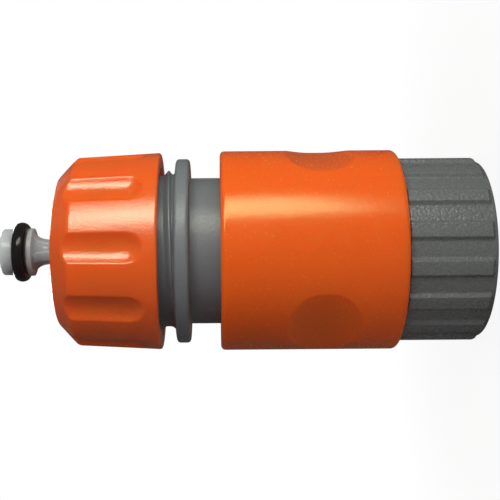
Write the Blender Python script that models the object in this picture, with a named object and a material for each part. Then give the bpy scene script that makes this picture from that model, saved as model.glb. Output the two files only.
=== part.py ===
# Garden hose quick connector with a water stop, coupled to a ribbed tap adaptor.
# It stands on the adaptor's open mouth. +Z runs along its axis, towards the hose end.
# Angles are in degrees round +Z from +X. Heights are from the adaptor's open mouth.

import math

import bmesh
import bpy
from mathutils import Matrix, Vector

MM = 0.001

# Clearances
GAP = 0.3 * MM  # between pieces that touch, slide or turn on each other
MERGE = 0.0005 * MM  # points closer than this are one point
SINK = 0.4 * MM  # how far a joined form starts inside the form that it grows from

# Steps round a turned piece
SHELL_STEPS = 40
BODY_STEPS = 36
HIDDEN_STEPS = 24
RING_STEPS = 8  # round the section of a seal

# Tap adaptor
TAP_BORE_RADIUS = 13.2 * MM
TAP_BORE_DEPTH = 12.2 * MM
TAP_LEAD_IN = 0.6 * MM
SKIRT_WALL = 2.65 * MM  # to the floor of the grooves between the ribs
SKIRT_ROOF = 2.4 * MM
SKIRT_EDGE = 0.4 * MM
RIB_COUNT = 16
RIB_RISE = 0.65 * MM
RIB_FIRST_ANGLE = 11.25
RIB_CREST_ANGLE = 8.3
RIB_FLANK_ANGLE = 1.8
RIB_START = 1.0 * MM  # bare band at the open mouth
RIB_END_SLOPE = 0.5 * MM
WATERWAY_RADIUS = 4.0 * MM
SPIGOT_LENGTH = 23.4 * MM
SPIGOT_TIP_BEVEL = 1.0 * MM
RIDGE_FOOT_HEIGHT = 2.3 * MM
LOCK_GROOVE_WIDTH = 3.1 * MM
LOCK_GROOVE_DEPTH = 0.1 * MM
RIDGE_RISE = 1.3 * MM
RIDGE_WIDTH = 1.4 * MM
RIDGE_RAMP = 1.5 * MM

# Seals
SPIGOT_SEAL_WIRE = 1.1 * MM
SPIGOT_GROOVE_WALL = 1.55 * MM  # from the waterway to the floor of the groove
SPIGOT_SEAL_PROUD = 0.15 * MM
SPIGOT_SEAL_BELOW_TIP = 5.0 * MM
WASHER_THICKNESS = 2.2 * MM
WASHER_HOLE_STEP = 2.5 * MM
WASHER_EDGE_GAP = 0.5 * MM
PLUNGER_SEAL_WIRE = 1.0 * MM
PLUNGER_GROOVE_DEPTH = 1.23 * MM
PLUNGER_SEAL_BELOW_TOP = 3.5 * MM

# Lock ring
CLAW_COUNT = 4
CLAW_SLOT_WIDTH = 6.0 * MM
CLAW_STALK_WALL = 0.9 * MM
CLAW_PAD_RISE = 2.2 * MM
CLAW_PAD_HEIGHT = 4.0 * MM
CLAW_NOSE = 1.0 * MM
CLAW_HOOK_WIDTH = 2.5 * MM
CLAW_SPREAD = 2.4 * MM  # room for the claws to open in the sleeve's mouth
LOCK_BASE_RISE = 0.6 * MM
LOCK_BASE_CLEARANCE = 0.6 * MM
LOCK_BASE_HEIGHT = 3.1 * MM
LOCK_STALK_HEIGHT = 1.7 * MM

# Release sleeve
SLEEVE_WALL = 2.7 * MM
SLEEVE_LENGTH = 31.2 * MM
SLEEVE_EDGE = 0.8 * MM
SLEEVE_TRAVEL = 5.0 * MM
SLEEVE_END_PLAY = 0.4 * MM
MOUTH_RELIEF_DEPTH = 4.6 * MM
LAND_WIDTH = 3.5 * MM
LIP_THICKNESS = 2.1 * MM
DIMPLE_ANGLES = (-18.0, 102.0, 222.0)
DIMPLE_HEIGHT = 13.6 * MM  # centre, above the sleeve's mouth end
DIMPLE_HALF_LENGTH = 6.7 * MM
DIMPLE_HALF_WIDTH = 7.4 * MM  # round the sleeve
DIMPLE_DEPTH = 0.9 * MM
DIMPLE_STEPS = 20

# Sleeve spring
SPRING_WIRE_RADIUS = 0.6 * MM
SPRING_INNER_GAP = 0.6 * MM
SPRING_TURNS = 6
SPRING_END_PITCH = 1.5 * MM
SPRING_STEPS_PER_TURN = 14

# Connector body
BARREL_STEP = 0.3 * MM  # barrel outside the land's radius
SHELL_WALL = 1.2 * MM
SHELL_BEAD = 0.6 * MM
SHELL_BEAD_HEIGHT = 0.8 * MM
STOP_RIB_WIDTH = 1.7 * MM
FLANGE_RISE = 2.05 * MM
FLANGE_THICKNESS = 2.45 * MM
FLANGE_ROUND = 0.6 * MM
FLANGE_FILLET = 1.3 * MM
SOCKET_GAP = 0.35 * MM
SOCKET_WALL = 1.5 * MM
SOCKET_LEAD_IN = 0.5 * MM
WEB_THICKNESS = 4.5 * MM
WEB_SKIN = 1.0 * MM
HOSE_POCKET_WIDTH = 3.9 * MM
COLLAR_WALL = 3.5 * MM
COLLAR_EDGE = 0.5 * MM
THREAD_DEPTH = 0.9 * MM
THREAD_PITCH = 3.0 * MM
THREAD_BASE_WIDTH = 1.8 * MM
THREAD_CREST_WIDTH = 0.25 * MM
THREAD_CREST_HEIGHT = 1.4 * MM  # crest at angle 0, above the flange
THREAD_FIRST_ANGLE = -150.0
THREAD_FADE_ANGLE = 30.0
STEM_BORE_RADIUS = 4.6 * MM
STEM_WALL = 1.7 * MM
STEM_SEAT_RISE = 0.9 * MM
STEM_SEAT_DEPTH = 1.6 * MM
STEM_TIP_EDGE = 0.3 * MM
STEM_TIP_BELOW_SEAL = 0.7 * MM  # stem tip, below the closed plunger's seal
BARB_COUNT = 3
BARB_RISE = 0.5 * MM
BARB_PITCH = 3.6 * MM
BARB_BELOW_TIP = 2.2 * MM

# Valve plunger
PLUNGER_REACH = 10.65 * MM  # beyond the nut's face while the halves are joined
PLUNGER_TRAVEL = 9.2 * MM
FOOT_CLEARANCE = 2.2 * MM
FOOT_HEIGHT = 5.4 * MM
GUIDE_LENGTH = 21.5 * MM
GUIDE_TAPER = 2.6 * MM
NECK_RADIUS = 2.0 * MM
CORE_RADIUS = 1.55 * MM
FIN_THICKNESS = 1.9 * MM
FIN_ANGLES = (68.0, 158.0)
FLARE_HEIGHT = 2.6 * MM
PLUNGER_COLLAR_GAP = 0.27 * MM
PLUNGER_COLLAR_WIDTH = 0.9 * MM
HEAD_STEP = 0.15 * MM  # head inside the collar's radius
HEAD_EDGE = 0.45 * MM

# Hose nut
NUT_TIGHTEN_TRAVEL = 2.0 * MM  # still free to tighten, as it stands
NUT_STOP_GAP = 0.7 * MM  # left to the flange when fully tight
NUT_LENGTH = 18.3 * MM
NUT_WALL = 2.9 * MM
NUT_DRAFT = 0.8 * MM
NUT_BACK_EDGE = 0.4 * MM
NUT_CHAMFER_DROP = 3.4 * MM
NUT_CHAMFER_ROUND = 1.2 * MM
NUT_FACE_SET_IN = 3.6 * MM
NUT_MOUTH_CLEARANCE = 3.5 * MM  # round the hose stem
NUT_LIP_THICKNESS = 1.6 * MM
NUT_LIP_STEP = 1.1 * MM
NUT_BORE_DEPTH = 10.9 * MM
SCOOP_COUNT = 10
SCOOP_FIRST_ANGLE = -88.0
SCOOP_WIDTH = 5.7 * MM
SCOOP_DEPTH = 1.2 * MM
SCOOP_MARGIN = 3.0 * MM
SCOOP_STEPS = 20

# Hose collet
COLLET_HEIGHT = 5.2 * MM
COLLET_BASE_HEIGHT = 1.1 * MM
COLLET_TOOTH_PROUD = 0.1 * MM  # teeth inside the nut's mouth
COLLET_TOOTH_RISE = 1.7 * MM
COLLET_TOOTH_DEPTH = 0.3 * MM
COLLET_TOOTH_PITCH = 0.9 * MM
COLLET_SLOT_COUNT = 8
COLLET_SLOT_WIDTH = 1.2 * MM

# Radii, from the waterway outward
SKIRT_RADIUS = TAP_BORE_RADIUS + SKIRT_WALL
SPIGOT_SEAL_GROOVE = WATERWAY_RADIUS + SPIGOT_GROOVE_WALL
SPIGOT_SEAL_CENTRE = SPIGOT_SEAL_GROOVE + GAP + SPIGOT_SEAL_WIRE
SPIGOT_RADIUS = SPIGOT_SEAL_CENTRE + SPIGOT_SEAL_WIRE - SPIGOT_SEAL_PROUD
LOCK_GROOVE_RADIUS = SPIGOT_RADIUS - LOCK_GROOVE_DEPTH
RIDGE_RADIUS = SPIGOT_RADIUS + RIDGE_RISE
SOCKET_RADIUS = SPIGOT_SEAL_CENTRE + SPIGOT_SEAL_WIRE + SOCKET_GAP
SOCKET_OUTER_RADIUS = SOCKET_RADIUS + SOCKET_WALL
WASHER_HOLE_RADIUS = WATERWAY_RADIUS + WASHER_HOLE_STEP

LOCK_BASE_HOLE_RADIUS = SPIGOT_RADIUS + LOCK_BASE_CLEARANCE
CLAW_STALK_RADIUS = RIDGE_RADIUS + GAP + CLAW_STALK_WALL
CLAW_PAD_RADIUS = CLAW_STALK_RADIUS + CLAW_PAD_RISE
LOCK_BASE_RADIUS = CLAW_STALK_RADIUS + LOCK_BASE_RISE
SHELL_BORE_RADIUS = LOCK_BASE_RADIUS + GAP
SHELL_RADIUS = SHELL_BORE_RADIUS + SHELL_WALL

LAND_RADIUS = max(CLAW_PAD_RADIUS, SHELL_RADIUS) + GAP
MOUTH_RELIEF_RADIUS = CLAW_PAD_RADIUS + CLAW_SPREAD
BARREL_RADIUS = LAND_RADIUS + BARREL_STEP
LIP_RADIUS = BARREL_RADIUS + GAP
SPRING_CENTRE = BARREL_RADIUS + SPRING_INNER_GAP + SPRING_WIRE_RADIUS
SPRING_CHAMBER_RADIUS = SPRING_CENTRE + SPRING_WIRE_RADIUS + GAP
STOP_RIB_RADIUS = SPRING_CHAMBER_RADIUS - GAP
SLEEVE_RADIUS = SPRING_CHAMBER_RADIUS + SLEEVE_WALL

GUIDE_RADIUS = STEM_BORE_RADIUS - GAP
STEM_RADIUS = STEM_BORE_RADIUS + STEM_WALL
STEM_SEAT_RADIUS = STEM_BORE_RADIUS + STEM_SEAT_RISE
COLLAR_BORE_RADIUS = STEM_RADIUS + HOSE_POCKET_WIDTH
THREAD_ROOT_RADIUS = COLLAR_BORE_RADIUS + COLLAR_WALL
CREST_RADIUS = THREAD_ROOT_RADIUS + THREAD_DEPTH
FLANGE_RADIUS = CREST_RADIUS + FLANGE_RISE
FOOT_RADIUS = SOCKET_RADIUS - FOOT_CLEARANCE
PLUNGER_COLLAR_RADIUS = STEM_BORE_RADIUS - PLUNGER_COLLAR_GAP
HEAD_RADIUS = PLUNGER_COLLAR_RADIUS - HEAD_STEP
PLUNGER_SEAL_GROOVE = PLUNGER_COLLAR_RADIUS - PLUNGER_GROOVE_DEPTH
PLUNGER_SEAL_CENTRE = PLUNGER_SEAL_GROOVE + GAP + PLUNGER_SEAL_WIRE

NUT_BORE_RADIUS = CREST_RADIUS + GAP
NUT_BACK_RADIUS = NUT_BORE_RADIUS + NUT_WALL
NUT_FRONT_RADIUS = NUT_BACK_RADIUS - NUT_DRAFT
NUT_FACE_RADIUS = NUT_FRONT_RADIUS - NUT_FACE_SET_IN
NUT_MOUTH_RADIUS = STEM_RADIUS + NUT_MOUTH_CLEARANCE
NUT_CONE_TOP_RADIUS = NUT_MOUTH_RADIUS + NUT_LIP_STEP
COLLET_TOOTH_RADIUS = NUT_MOUTH_RADIUS - COLLET_TOOTH_PROUD
COLLET_BORE_RADIUS = COLLET_TOOTH_RADIUS + COLLET_TOOTH_RISE

# Heights, from the adaptor's open mouth upward
SHOULDER_Z = TAP_BORE_DEPTH + SKIRT_ROOF
GROOVE_Z = SHOULDER_Z + RIDGE_FOOT_HEIGHT
RIDGE_Z = GROOVE_Z + LOCK_GROOVE_WIDTH
RIDGE_TOP_Z = RIDGE_Z + RIDGE_WIDTH
SPIGOT_TIP_Z = SHOULDER_Z + SPIGOT_LENGTH
SPIGOT_SEAL_Z = SPIGOT_TIP_Z - SPIGOT_SEAL_BELOW_TIP

HOOK_TOP_Z = RIDGE_Z - GAP
CLAW_Z = HOOK_TOP_Z - CLAW_HOOK_WIDTH
PAD_TOP_Z = HOOK_TOP_Z + CLAW_PAD_HEIGHT - CLAW_NOSE
LOCK_BASE_Z = PAD_TOP_Z + CLAW_NOSE + LOCK_STALK_HEIGHT
LOCK_TOP_Z = LOCK_BASE_Z + LOCK_BASE_HEIGHT

SLEEVE_Z = SHOULDER_Z + GAP
LAND_Z = SLEEVE_Z + MOUTH_RELIEF_DEPTH
LAND_TOP_Z = LAND_Z + LAND_WIDTH
SLEEVE_TOP_Z = SLEEVE_Z + SLEEVE_LENGTH
LIP_Z = SLEEVE_TOP_Z - LIP_THICKNESS
STOP_RIB_TOP_Z = LIP_Z - GAP
STOP_RIB_Z = STOP_RIB_TOP_Z - STOP_RIB_WIDTH

BEAD_TOP_Z = LOCK_BASE_Z - GAP
SHELL_Z = BEAD_TOP_Z - SHELL_BEAD_HEIGHT
SOCKET_Z = LOCK_TOP_Z + GAP
PLUNGER_Z = SPIGOT_TIP_Z + GAP
FOOT_TOP_Z = PLUNGER_Z + FOOT_HEIGHT
GUIDE_TOP_Z = FOOT_TOP_Z + GUIDE_LENGTH
WEB_Z = FOOT_TOP_Z + GAP
WEB_TOP_Z = WEB_Z + WEB_THICKNESS
POCKET_ROOF_Z = WEB_Z - WEB_SKIN
FLANGE_Z = SLEEVE_TOP_Z + SLEEVE_TRAVEL + SLEEVE_END_PLAY
FLANGE_TOP_Z = FLANGE_Z + FLANGE_THICKNESS

NUT_Z = FLANGE_TOP_Z + NUT_TIGHTEN_TRAVEL + NUT_STOP_GAP
NUT_TOP_Z = NUT_Z + NUT_LENGTH
NUT_CONE_Z = NUT_Z + NUT_BORE_DEPTH
NUT_CONE_TOP_Z = NUT_TOP_Z - NUT_LIP_THICKNESS
COLLET_TOP_Z = NUT_CONE_TOP_Z - GAP
COLLET_Z = max(COLLET_TOP_Z - COLLET_HEIGHT, NUT_CONE_Z + GAP)
COLLAR_TOP_Z = COLLET_Z - NUT_TIGHTEN_TRAVEL - GAP

PLUNGER_TOP_Z = NUT_TOP_Z + PLUNGER_REACH
PLUNGER_SEAL_Z = PLUNGER_TOP_Z - PLUNGER_SEAL_BELOW_TOP
PLUNGER_COLLAR_TOP_Z = PLUNGER_SEAL_Z - PLUNGER_SEAL_WIRE - GAP
PLUNGER_COLLAR_Z = PLUNGER_COLLAR_TOP_Z - PLUNGER_COLLAR_WIDTH
STEM_TIP_Z = PLUNGER_SEAL_Z - PLUNGER_TRAVEL - STEM_TIP_BELOW_SEAL


def clear_scene():
    for item in list(bpy.data.objects):
        bpy.data.objects.remove(item, do_unlink=True)


def surface(name, color, roughness, metallic=0.0):
    finish = bpy.data.materials.new(name)
    finish.use_nodes = True
    shader = finish.node_tree.nodes["Principled BSDF"]
    shader.inputs["Base Color"].default_value = (*color, 1.0)
    shader.inputs["Roughness"].default_value = roughness
    shader.inputs["Metallic"].default_value = metallic
    return finish


def pivot(name):
    """An empty on the common axis, which carries one half of the coupling."""
    empty = bpy.data.objects.new(name, None)
    bpy.context.scene.collection.objects.link(empty)
    return empty


def arc(centre_radius, centre_height, size, start, end, steps):
    """Outline points along an arc, with its angles from the outward direction."""
    points = []
    for step in range(steps + 1):
        angle = math.radians(start + (end - start) * step / steps)
        points.append(
            (centre_radius + size * math.cos(angle), centre_height + size * math.sin(angle))
        )
    return points


def corner_arc(radius, height, size, start, end, steps):
    """Rounds off a corner, between the directions in degrees that its two sides face."""
    share = size / (1.0 + math.cos(math.radians(end - start)))
    inward = math.cos(math.radians(start)) + math.cos(math.radians(end))
    down = math.sin(math.radians(start)) + math.sin(math.radians(end))
    return arc(radius - share * inward, height - share * down, size, start, end, steps)


def finished(name, work, finish, datum, parent):
    """Makes the object, with its origin on the axis at its own datum height."""
    bmesh.ops.remove_doubles(work, verts=work.verts, dist=MERGE)
    bmesh.ops.recalc_face_normals(work, faces=work.faces)
    bmesh.ops.translate(work, verts=work.verts, vec=(0.0, 0.0, -datum))
    mesh = bpy.data.meshes.new(name)
    work.to_mesh(mesh)
    work.free()
    mesh.shade_smooth()
    mesh.set_sharp_from_angle(angle=math.radians(32.0))
    if finish:
        mesh.materials.append(finish)
    piece = bpy.data.objects.new(name, mesh)
    bpy.context.scene.collection.objects.link(piece)
    piece.parent = parent
    piece.location.z = datum if parent is None or parent.type == "EMPTY" else 0.0
    return piece


def spun(outline, steps, closed=True):
    """A surface of revolution. An open outline starts and ends on the axis."""
    work = bmesh.new()
    points = [work.verts.new((radius, 0.0, height)) for radius, height in outline]
    pairs = list(zip(points, points[1:]))
    if closed:
        pairs.append((points[-1], points[0]))
    edges = [work.edges.new(pair) for pair in pairs]
    bmesh.ops.spin(
        work,
        geom=points + edges,
        cent=(0.0, 0.0, 0.0),
        axis=(0.0, 0.0, 1.0),
        angle=math.tau,
        steps=steps,
        use_merge=True,
    )
    return work


def turned(name, outline, finish, datum, parent, steps=SHELL_STEPS, closed=True):
    return finished(name, spun(outline, steps, closed), finish, datum, parent)


def combine(target, helper, operation):
    helper.hide_render = True
    helper.display_type = "WIRE"
    step = target.modifiers.new(helper.name, "BOOLEAN")
    step.operation = operation
    step.solver = "EXACT"
    step.object = helper


def ring_of_copies(work, count):
    """Repeats everything in the mesh evenly round the axis."""
    bmesh.ops.spin(
        work,
        geom=work.verts[:] + work.edges[:] + work.faces[:],
        cent=(0.0, 0.0, 0.0),
        axis=(0.0, 0.0, 1.0),
        angle=math.tau * (count - 1) / count,
        steps=count - 1,
        use_duplicate=True,
    )


def block(size, centre):
    work = bmesh.new()
    bmesh.ops.create_cube(work, size=1.0)
    bmesh.ops.scale(work, verts=work.verts, vec=size)
    bmesh.ops.translate(work, verts=work.verts, vec=centre)
    return work


def turn_mesh(work, degrees):
    spin = Matrix.Rotation(math.radians(degrees), 3, "Z")
    bmesh.ops.rotate(work, verts=work.verts, cent=(0.0, 0.0, 0.0), matrix=spin)


def skirt_mesh():
    """Ribbed cup of the adaptor, built ring by ring from its open mouth upward."""
    half_crest = RIB_CREST_ANGLE / 2
    half_foot = half_crest + RIB_FLANK_ANGLE
    corners = ((-half_foot, 0.0), (-half_crest, 1.0), (half_crest, 1.0), (half_foot, 0.0))
    spokes = []
    for rib in range(RIB_COUNT):
        middle = RIB_FIRST_ANGLE + 360.0 * rib / RIB_COUNT
        spokes += [(math.radians(middle + turn), rise) for turn, rise in corners]

    levels = [
        (TAP_BORE_RADIUS, 0.0, TAP_BORE_DEPTH),
        (TAP_BORE_RADIUS, 0.0, TAP_LEAD_IN),
        (TAP_BORE_RADIUS + TAP_LEAD_IN, 0.0, 0.0),
        (SKIRT_RADIUS - SKIRT_EDGE, 0.0, 0.0),
        (SKIRT_RADIUS, 0.0, SKIRT_EDGE),
        (SKIRT_RADIUS, 0.0, RIB_START),
        (SKIRT_RADIUS, RIB_RISE, RIB_START + RIB_END_SLOPE),
        (SKIRT_RADIUS, RIB_RISE, SHOULDER_Z),
    ]
    work = bmesh.new()
    rings = []
    for radius, rib_rise, height in levels:
        ring = []
        for angle, rise in spokes:
            reach = radius + rib_rise * rise
            place = (reach * math.cos(angle), reach * math.sin(angle), height)
            ring.append(work.verts.new(place))
        rings.append(ring)
    for lower, upper in zip(rings, rings[1:]):
        for spot in range(len(lower)):
            after = (spot + 1) % len(lower)
            work.faces.new((lower[spot], lower[after], upper[after], upper[spot]))
    work.faces.new(rings[0])
    work.faces.new(rings[-1])
    return work


def build_tap_adaptor(finish, parent):
    adaptor = finished("tap_adaptor", skirt_mesh(), finish, 0.0, parent)

    seal_half_width = SPIGOT_SEAL_WIRE + GAP
    outline = [
        (0.0, SHOULDER_Z - SINK),
        (RIDGE_RADIUS, SHOULDER_Z - SINK),
        (RIDGE_RADIUS, GROOVE_Z),
        (LOCK_GROOVE_RADIUS, GROOVE_Z),
        (LOCK_GROOVE_RADIUS, RIDGE_Z),
        (RIDGE_RADIUS, RIDGE_Z),
        (RIDGE_RADIUS, RIDGE_TOP_Z),
        (SPIGOT_RADIUS, RIDGE_TOP_Z + RIDGE_RAMP),
        (SPIGOT_RADIUS, SPIGOT_SEAL_Z - seal_half_width),
        (SPIGOT_SEAL_GROOVE, SPIGOT_SEAL_Z - seal_half_width),
        (SPIGOT_SEAL_GROOVE, SPIGOT_SEAL_Z + seal_half_width),
        (SPIGOT_RADIUS, SPIGOT_SEAL_Z + seal_half_width),
        (SPIGOT_RADIUS, SPIGOT_TIP_Z - SPIGOT_TIP_BEVEL),
        (SPIGOT_RADIUS - SPIGOT_TIP_BEVEL, SPIGOT_TIP_Z),
        (0.0, SPIGOT_TIP_Z),
    ]
    spigot = turned("spigot_form", outline, None, 0.0, adaptor, HIDDEN_STEPS, closed=False)
    combine(adaptor, spigot, "UNION")

    bore = [
        (0.0, TAP_BORE_DEPTH - SINK),
        (WATERWAY_RADIUS, TAP_BORE_DEPTH - SINK),
        (WATERWAY_RADIUS, SPIGOT_TIP_Z + SINK),
        (0.0, SPIGOT_TIP_Z + SINK),
    ]
    waterway = turned("waterway_cut", bore, None, 0.0, adaptor, HIDDEN_STEPS, closed=False)
    combine(adaptor, waterway, "DIFFERENCE")


def build_seal(name, centre, wire, height, finish, parent):
    section = arc(centre, height, wire, 0.0, 360.0, RING_STEPS)[:-1]
    turned(name, section, finish, height, parent, HIDDEN_STEPS)


def build_thread_washer(finish, parent):
    top = TAP_BORE_DEPTH - GAP
    edge = TAP_BORE_RADIUS - WASHER_EDGE_GAP
    outline = [
        (WASHER_HOLE_RADIUS, top),
        (WASHER_HOLE_RADIUS, top - WASHER_THICKNESS),
        (edge, top - WASHER_THICKNESS),
        (edge, top),
    ]
    turned("thread_washer", outline, finish, top, parent, HIDDEN_STEPS)


def build_lock_ring(finish, parent):
    """Springy ring whose claws hook under the spigot's ridge, backed by the sleeve's land."""
    hook_radius = LOCK_GROOVE_RADIUS + GAP
    claw_radius = RIDGE_RADIUS + GAP
    outline = [
        (LOCK_BASE_RADIUS, LOCK_TOP_Z),
        (LOCK_BASE_HOLE_RADIUS, LOCK_TOP_Z),
        (LOCK_BASE_HOLE_RADIUS, LOCK_BASE_Z),
        (claw_radius, PAD_TOP_Z + CLAW_NOSE),
        (claw_radius, HOOK_TOP_Z),
        (hook_radius, HOOK_TOP_Z),
        (hook_radius, CLAW_Z + CLAW_NOSE),
        (hook_radius + CLAW_NOSE, CLAW_Z),
        (CLAW_PAD_RADIUS - CLAW_NOSE, CLAW_Z),
        (CLAW_PAD_RADIUS, CLAW_Z + CLAW_NOSE),
        (CLAW_PAD_RADIUS, PAD_TOP_Z),
        (CLAW_STALK_RADIUS, PAD_TOP_Z + CLAW_NOSE),
        (CLAW_STALK_RADIUS, LOCK_BASE_Z),
        (LOCK_BASE_RADIUS, LOCK_BASE_Z),
    ]
    ring = turned("lock_ring", outline, finish, LOCK_BASE_Z, parent, HIDDEN_STEPS)

    slot_top = LOCK_BASE_Z + SINK
    slot_bottom = CLAW_Z - SINK
    reach = CLAW_PAD_RADIUS + SINK
    start = CLAW_SLOT_WIDTH / 2 + SINK
    work = block(
        (reach - start, CLAW_SLOT_WIDTH, slot_top - slot_bottom),
        ((reach + start) / 2, 0.0, (slot_top + slot_bottom) / 2),
    )
    ring_of_copies(work, CLAW_COUNT)
    slots = finished("claw_slots", work, None, LOCK_BASE_Z, ring)
    combine(ring, slots, "DIFFERENCE")


def thread_ridge_mesh():
    """Coarse right-hand thread ridge with tapered ends, swept up its helix."""
    work = bmesh.new()
    first_crest_z = FLANGE_TOP_Z + THREAD_CREST_HEIGHT
    last_crest_z = COLLAR_TOP_Z - COLLAR_EDGE - THREAD_BASE_WIDTH / 2
    last_angle = 360.0 * (last_crest_z - first_crest_z) / THREAD_PITCH
    steps = round((last_angle - THREAD_FIRST_ANGLE) * BODY_STEPS / 360.0)
    inner = THREAD_ROOT_RADIUS - SINK
    sections = []
    for step in range(steps + 1):
        angle = THREAD_FIRST_ANGLE + (last_angle - THREAD_FIRST_ANGLE) * step / steps
        nearest_end = min(angle - THREAD_FIRST_ANGLE, last_angle - angle)
        full = min(1.0, nearest_end / THREAD_FADE_ANGLE)
        middle = first_crest_z + THREAD_PITCH * angle / 360.0
        outer = inner + (CREST_RADIUS - inner) * (0.3 + 0.7 * full)
        turn = math.radians(angle)
        section = []
        for radius, shift in (
            (inner, -THREAD_BASE_WIDTH / 2),
            (outer, -THREAD_CREST_WIDTH / 2),
            (outer, THREAD_CREST_WIDTH / 2),
            (inner, THREAD_BASE_WIDTH / 2),
        ):
            place = (radius * math.cos(turn), radius * math.sin(turn), middle + shift)
            section.append(work.verts.new(place))
        sections.append(section)
    for before, after in zip(sections, sections[1:]):
        for spot in range(4):
            beside = (spot + 1) % 4
            work.faces.new((before[spot], before[beside], after[beside], after[spot]))
    work.faces.new(sections[0])
    work.faces.new(sections[-1])
    return work


def barb_points():
    """Saw-tooth barbs of the hose stem, from the lowest up, their steps facing the body."""
    points = []
    for barb in reversed(range(BARB_COUNT)):
        top = STEM_TIP_Z - BARB_BELOW_TIP - BARB_PITCH * barb
        points.append((STEM_RADIUS, top - BARB_PITCH * 0.7))
        points.append((STEM_RADIUS + BARB_RISE, top - BARB_PITCH * 0.7))
        points.append((STEM_RADIUS, top))
    return points


def build_connector_body(finish, parent):
    round_low = FLANGE_Z + FLANGE_ROUND
    round_high = FLANGE_TOP_Z - FLANGE_ROUND
    round_centre = FLANGE_RADIUS - FLANGE_ROUND
    fillet_centre = THREAD_ROOT_RADIUS + FLANGE_FILLET
    bead_radius = SHELL_BORE_RADIUS - SHELL_BEAD
    outline = [
        (bead_radius + SHELL_BEAD / 2, SHELL_Z),
        (SHELL_RADIUS, SHELL_Z),
        (SHELL_RADIUS, STOP_RIB_Z),
        (STOP_RIB_RADIUS, STOP_RIB_Z),
        (STOP_RIB_RADIUS, STOP_RIB_TOP_Z),
        (BARREL_RADIUS, STOP_RIB_TOP_Z),
        (BARREL_RADIUS, FLANGE_Z),
    ]
    outline += arc(round_centre, round_low, FLANGE_ROUND, -90.0, 0.0, 3)
    outline += arc(round_centre, round_high, FLANGE_ROUND, 0.0, 90.0, 3)
    outline += arc(
        fillet_centre, FLANGE_TOP_Z + FLANGE_FILLET, FLANGE_FILLET, 270.0, 180.0, 3
    )
    outline += [
        (THREAD_ROOT_RADIUS, COLLAR_TOP_Z - COLLAR_EDGE),
        (THREAD_ROOT_RADIUS - COLLAR_EDGE, COLLAR_TOP_Z),
        (COLLAR_BORE_RADIUS, COLLAR_TOP_Z),
        (COLLAR_BORE_RADIUS, WEB_TOP_Z),
        (STEM_RADIUS, WEB_TOP_Z),
    ]
    outline += barb_points()
    outline += [
        (STEM_RADIUS, STEM_TIP_Z - STEM_TIP_EDGE),
        (STEM_RADIUS - STEM_TIP_EDGE, STEM_TIP_Z),
        (STEM_SEAT_RADIUS, STEM_TIP_Z),
        (STEM_BORE_RADIUS, STEM_TIP_Z - STEM_SEAT_DEPTH),
        (STEM_BORE_RADIUS, WEB_Z),
        (SOCKET_RADIUS, WEB_Z),
        (SOCKET_RADIUS, SOCKET_Z + SOCKET_LEAD_IN),
        (SOCKET_RADIUS + SOCKET_LEAD_IN, SOCKET_Z),
        (SOCKET_OUTER_RADIUS, SOCKET_Z),
        (SOCKET_OUTER_RADIUS, POCKET_ROOF_Z),
        (SHELL_BORE_RADIUS, POCKET_ROOF_Z),
        (SHELL_BORE_RADIUS, BEAD_TOP_Z),
        (bead_radius, BEAD_TOP_Z),
        (bead_radius, BEAD_TOP_Z - SHELL_BEAD_HEIGHT / 2),
    ]
    body = turned("connector_body", outline, finish, FLANGE_Z, parent, BODY_STEPS)
    ridge = finished("thread_form", thread_ridge_mesh(), None, FLANGE_Z, body)
    combine(body, ridge, "UNION")


def dimple_mesh(angle):
    """Shallow oval dish that follows the sleeve's curve, as a cutter."""
    rings = (0.35, 0.65, 0.88, 1.06)
    top_radius = SLEEVE_RADIUS + DIMPLE_DEPTH
    middle_height = SLEEVE_Z + DIMPLE_HEIGHT
    work = bmesh.new()

    def point(share, step, radius):
        way = math.tau * step / DIMPLE_STEPS
        along = DIMPLE_HALF_LENGTH * share * math.cos(way)
        aside = DIMPLE_HALF_WIDTH * share * math.sin(way)
        turn = math.radians(angle) + aside / SLEEVE_RADIUS
        place = (radius * math.cos(turn), radius * math.sin(turn), middle_height + along)
        return work.verts.new(place)

    loops = []
    for share in rings:
        radius = SLEEVE_RADIUS - DIMPLE_DEPTH * (1.0 - share**2)
        loops.append([point(share, step, radius) for step in range(DIMPLE_STEPS)])
    loops.append([point(rings[-1], step, top_radius) for step in range(DIMPLE_STEPS)])
    centre = point(0.0, 0, SLEEVE_RADIUS - DIMPLE_DEPTH)
    crown = point(0.0, 0, top_radius)
    for spot in range(DIMPLE_STEPS):
        beside = (spot + 1) % DIMPLE_STEPS
        work.faces.new((centre, loops[0][spot], loops[0][beside]))
        work.faces.new((crown, loops[-1][beside], loops[-1][spot]))
        for inner, outer in zip(loops, loops[1:]):
            work.faces.new((inner[spot], outer[spot], outer[beside], inner[beside]))
    return work


def build_release_sleeve(finish, parent):
    edge_centre = SLEEVE_RADIUS - SLEEVE_EDGE
    outline = arc(edge_centre, SLEEVE_Z + SLEEVE_EDGE, SLEEVE_EDGE, -90.0, 0.0, 3)
    outline += arc(edge_centre, SLEEVE_TOP_Z - SLEEVE_EDGE, SLEEVE_EDGE, 0.0, 90.0, 3)
    outline += [
        (LIP_RADIUS, SLEEVE_TOP_Z),
        (LIP_RADIUS, LIP_Z),
        (SPRING_CHAMBER_RADIUS, LIP_Z),
        (SPRING_CHAMBER_RADIUS, LAND_TOP_Z),
        (LAND_RADIUS, LAND_TOP_Z),
        (LAND_RADIUS, LAND_Z + GAP),
        (LAND_RADIUS + GAP, LAND_Z),
        (MOUTH_RELIEF_RADIUS, LAND_Z),
        (MOUTH_RELIEF_RADIUS, SLEEVE_Z),
    ]
    sleeve = turned("release_sleeve", outline, finish, SLEEVE_Z, parent)
    for number, angle in enumerate(DIMPLE_ANGLES, 1):
        name = f"dimple_cut_{number}"
        dimple = finished(name, dimple_mesh(angle), None, SLEEVE_Z, sleeve)
        combine(sleeve, dimple, "DIFFERENCE")


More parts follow.
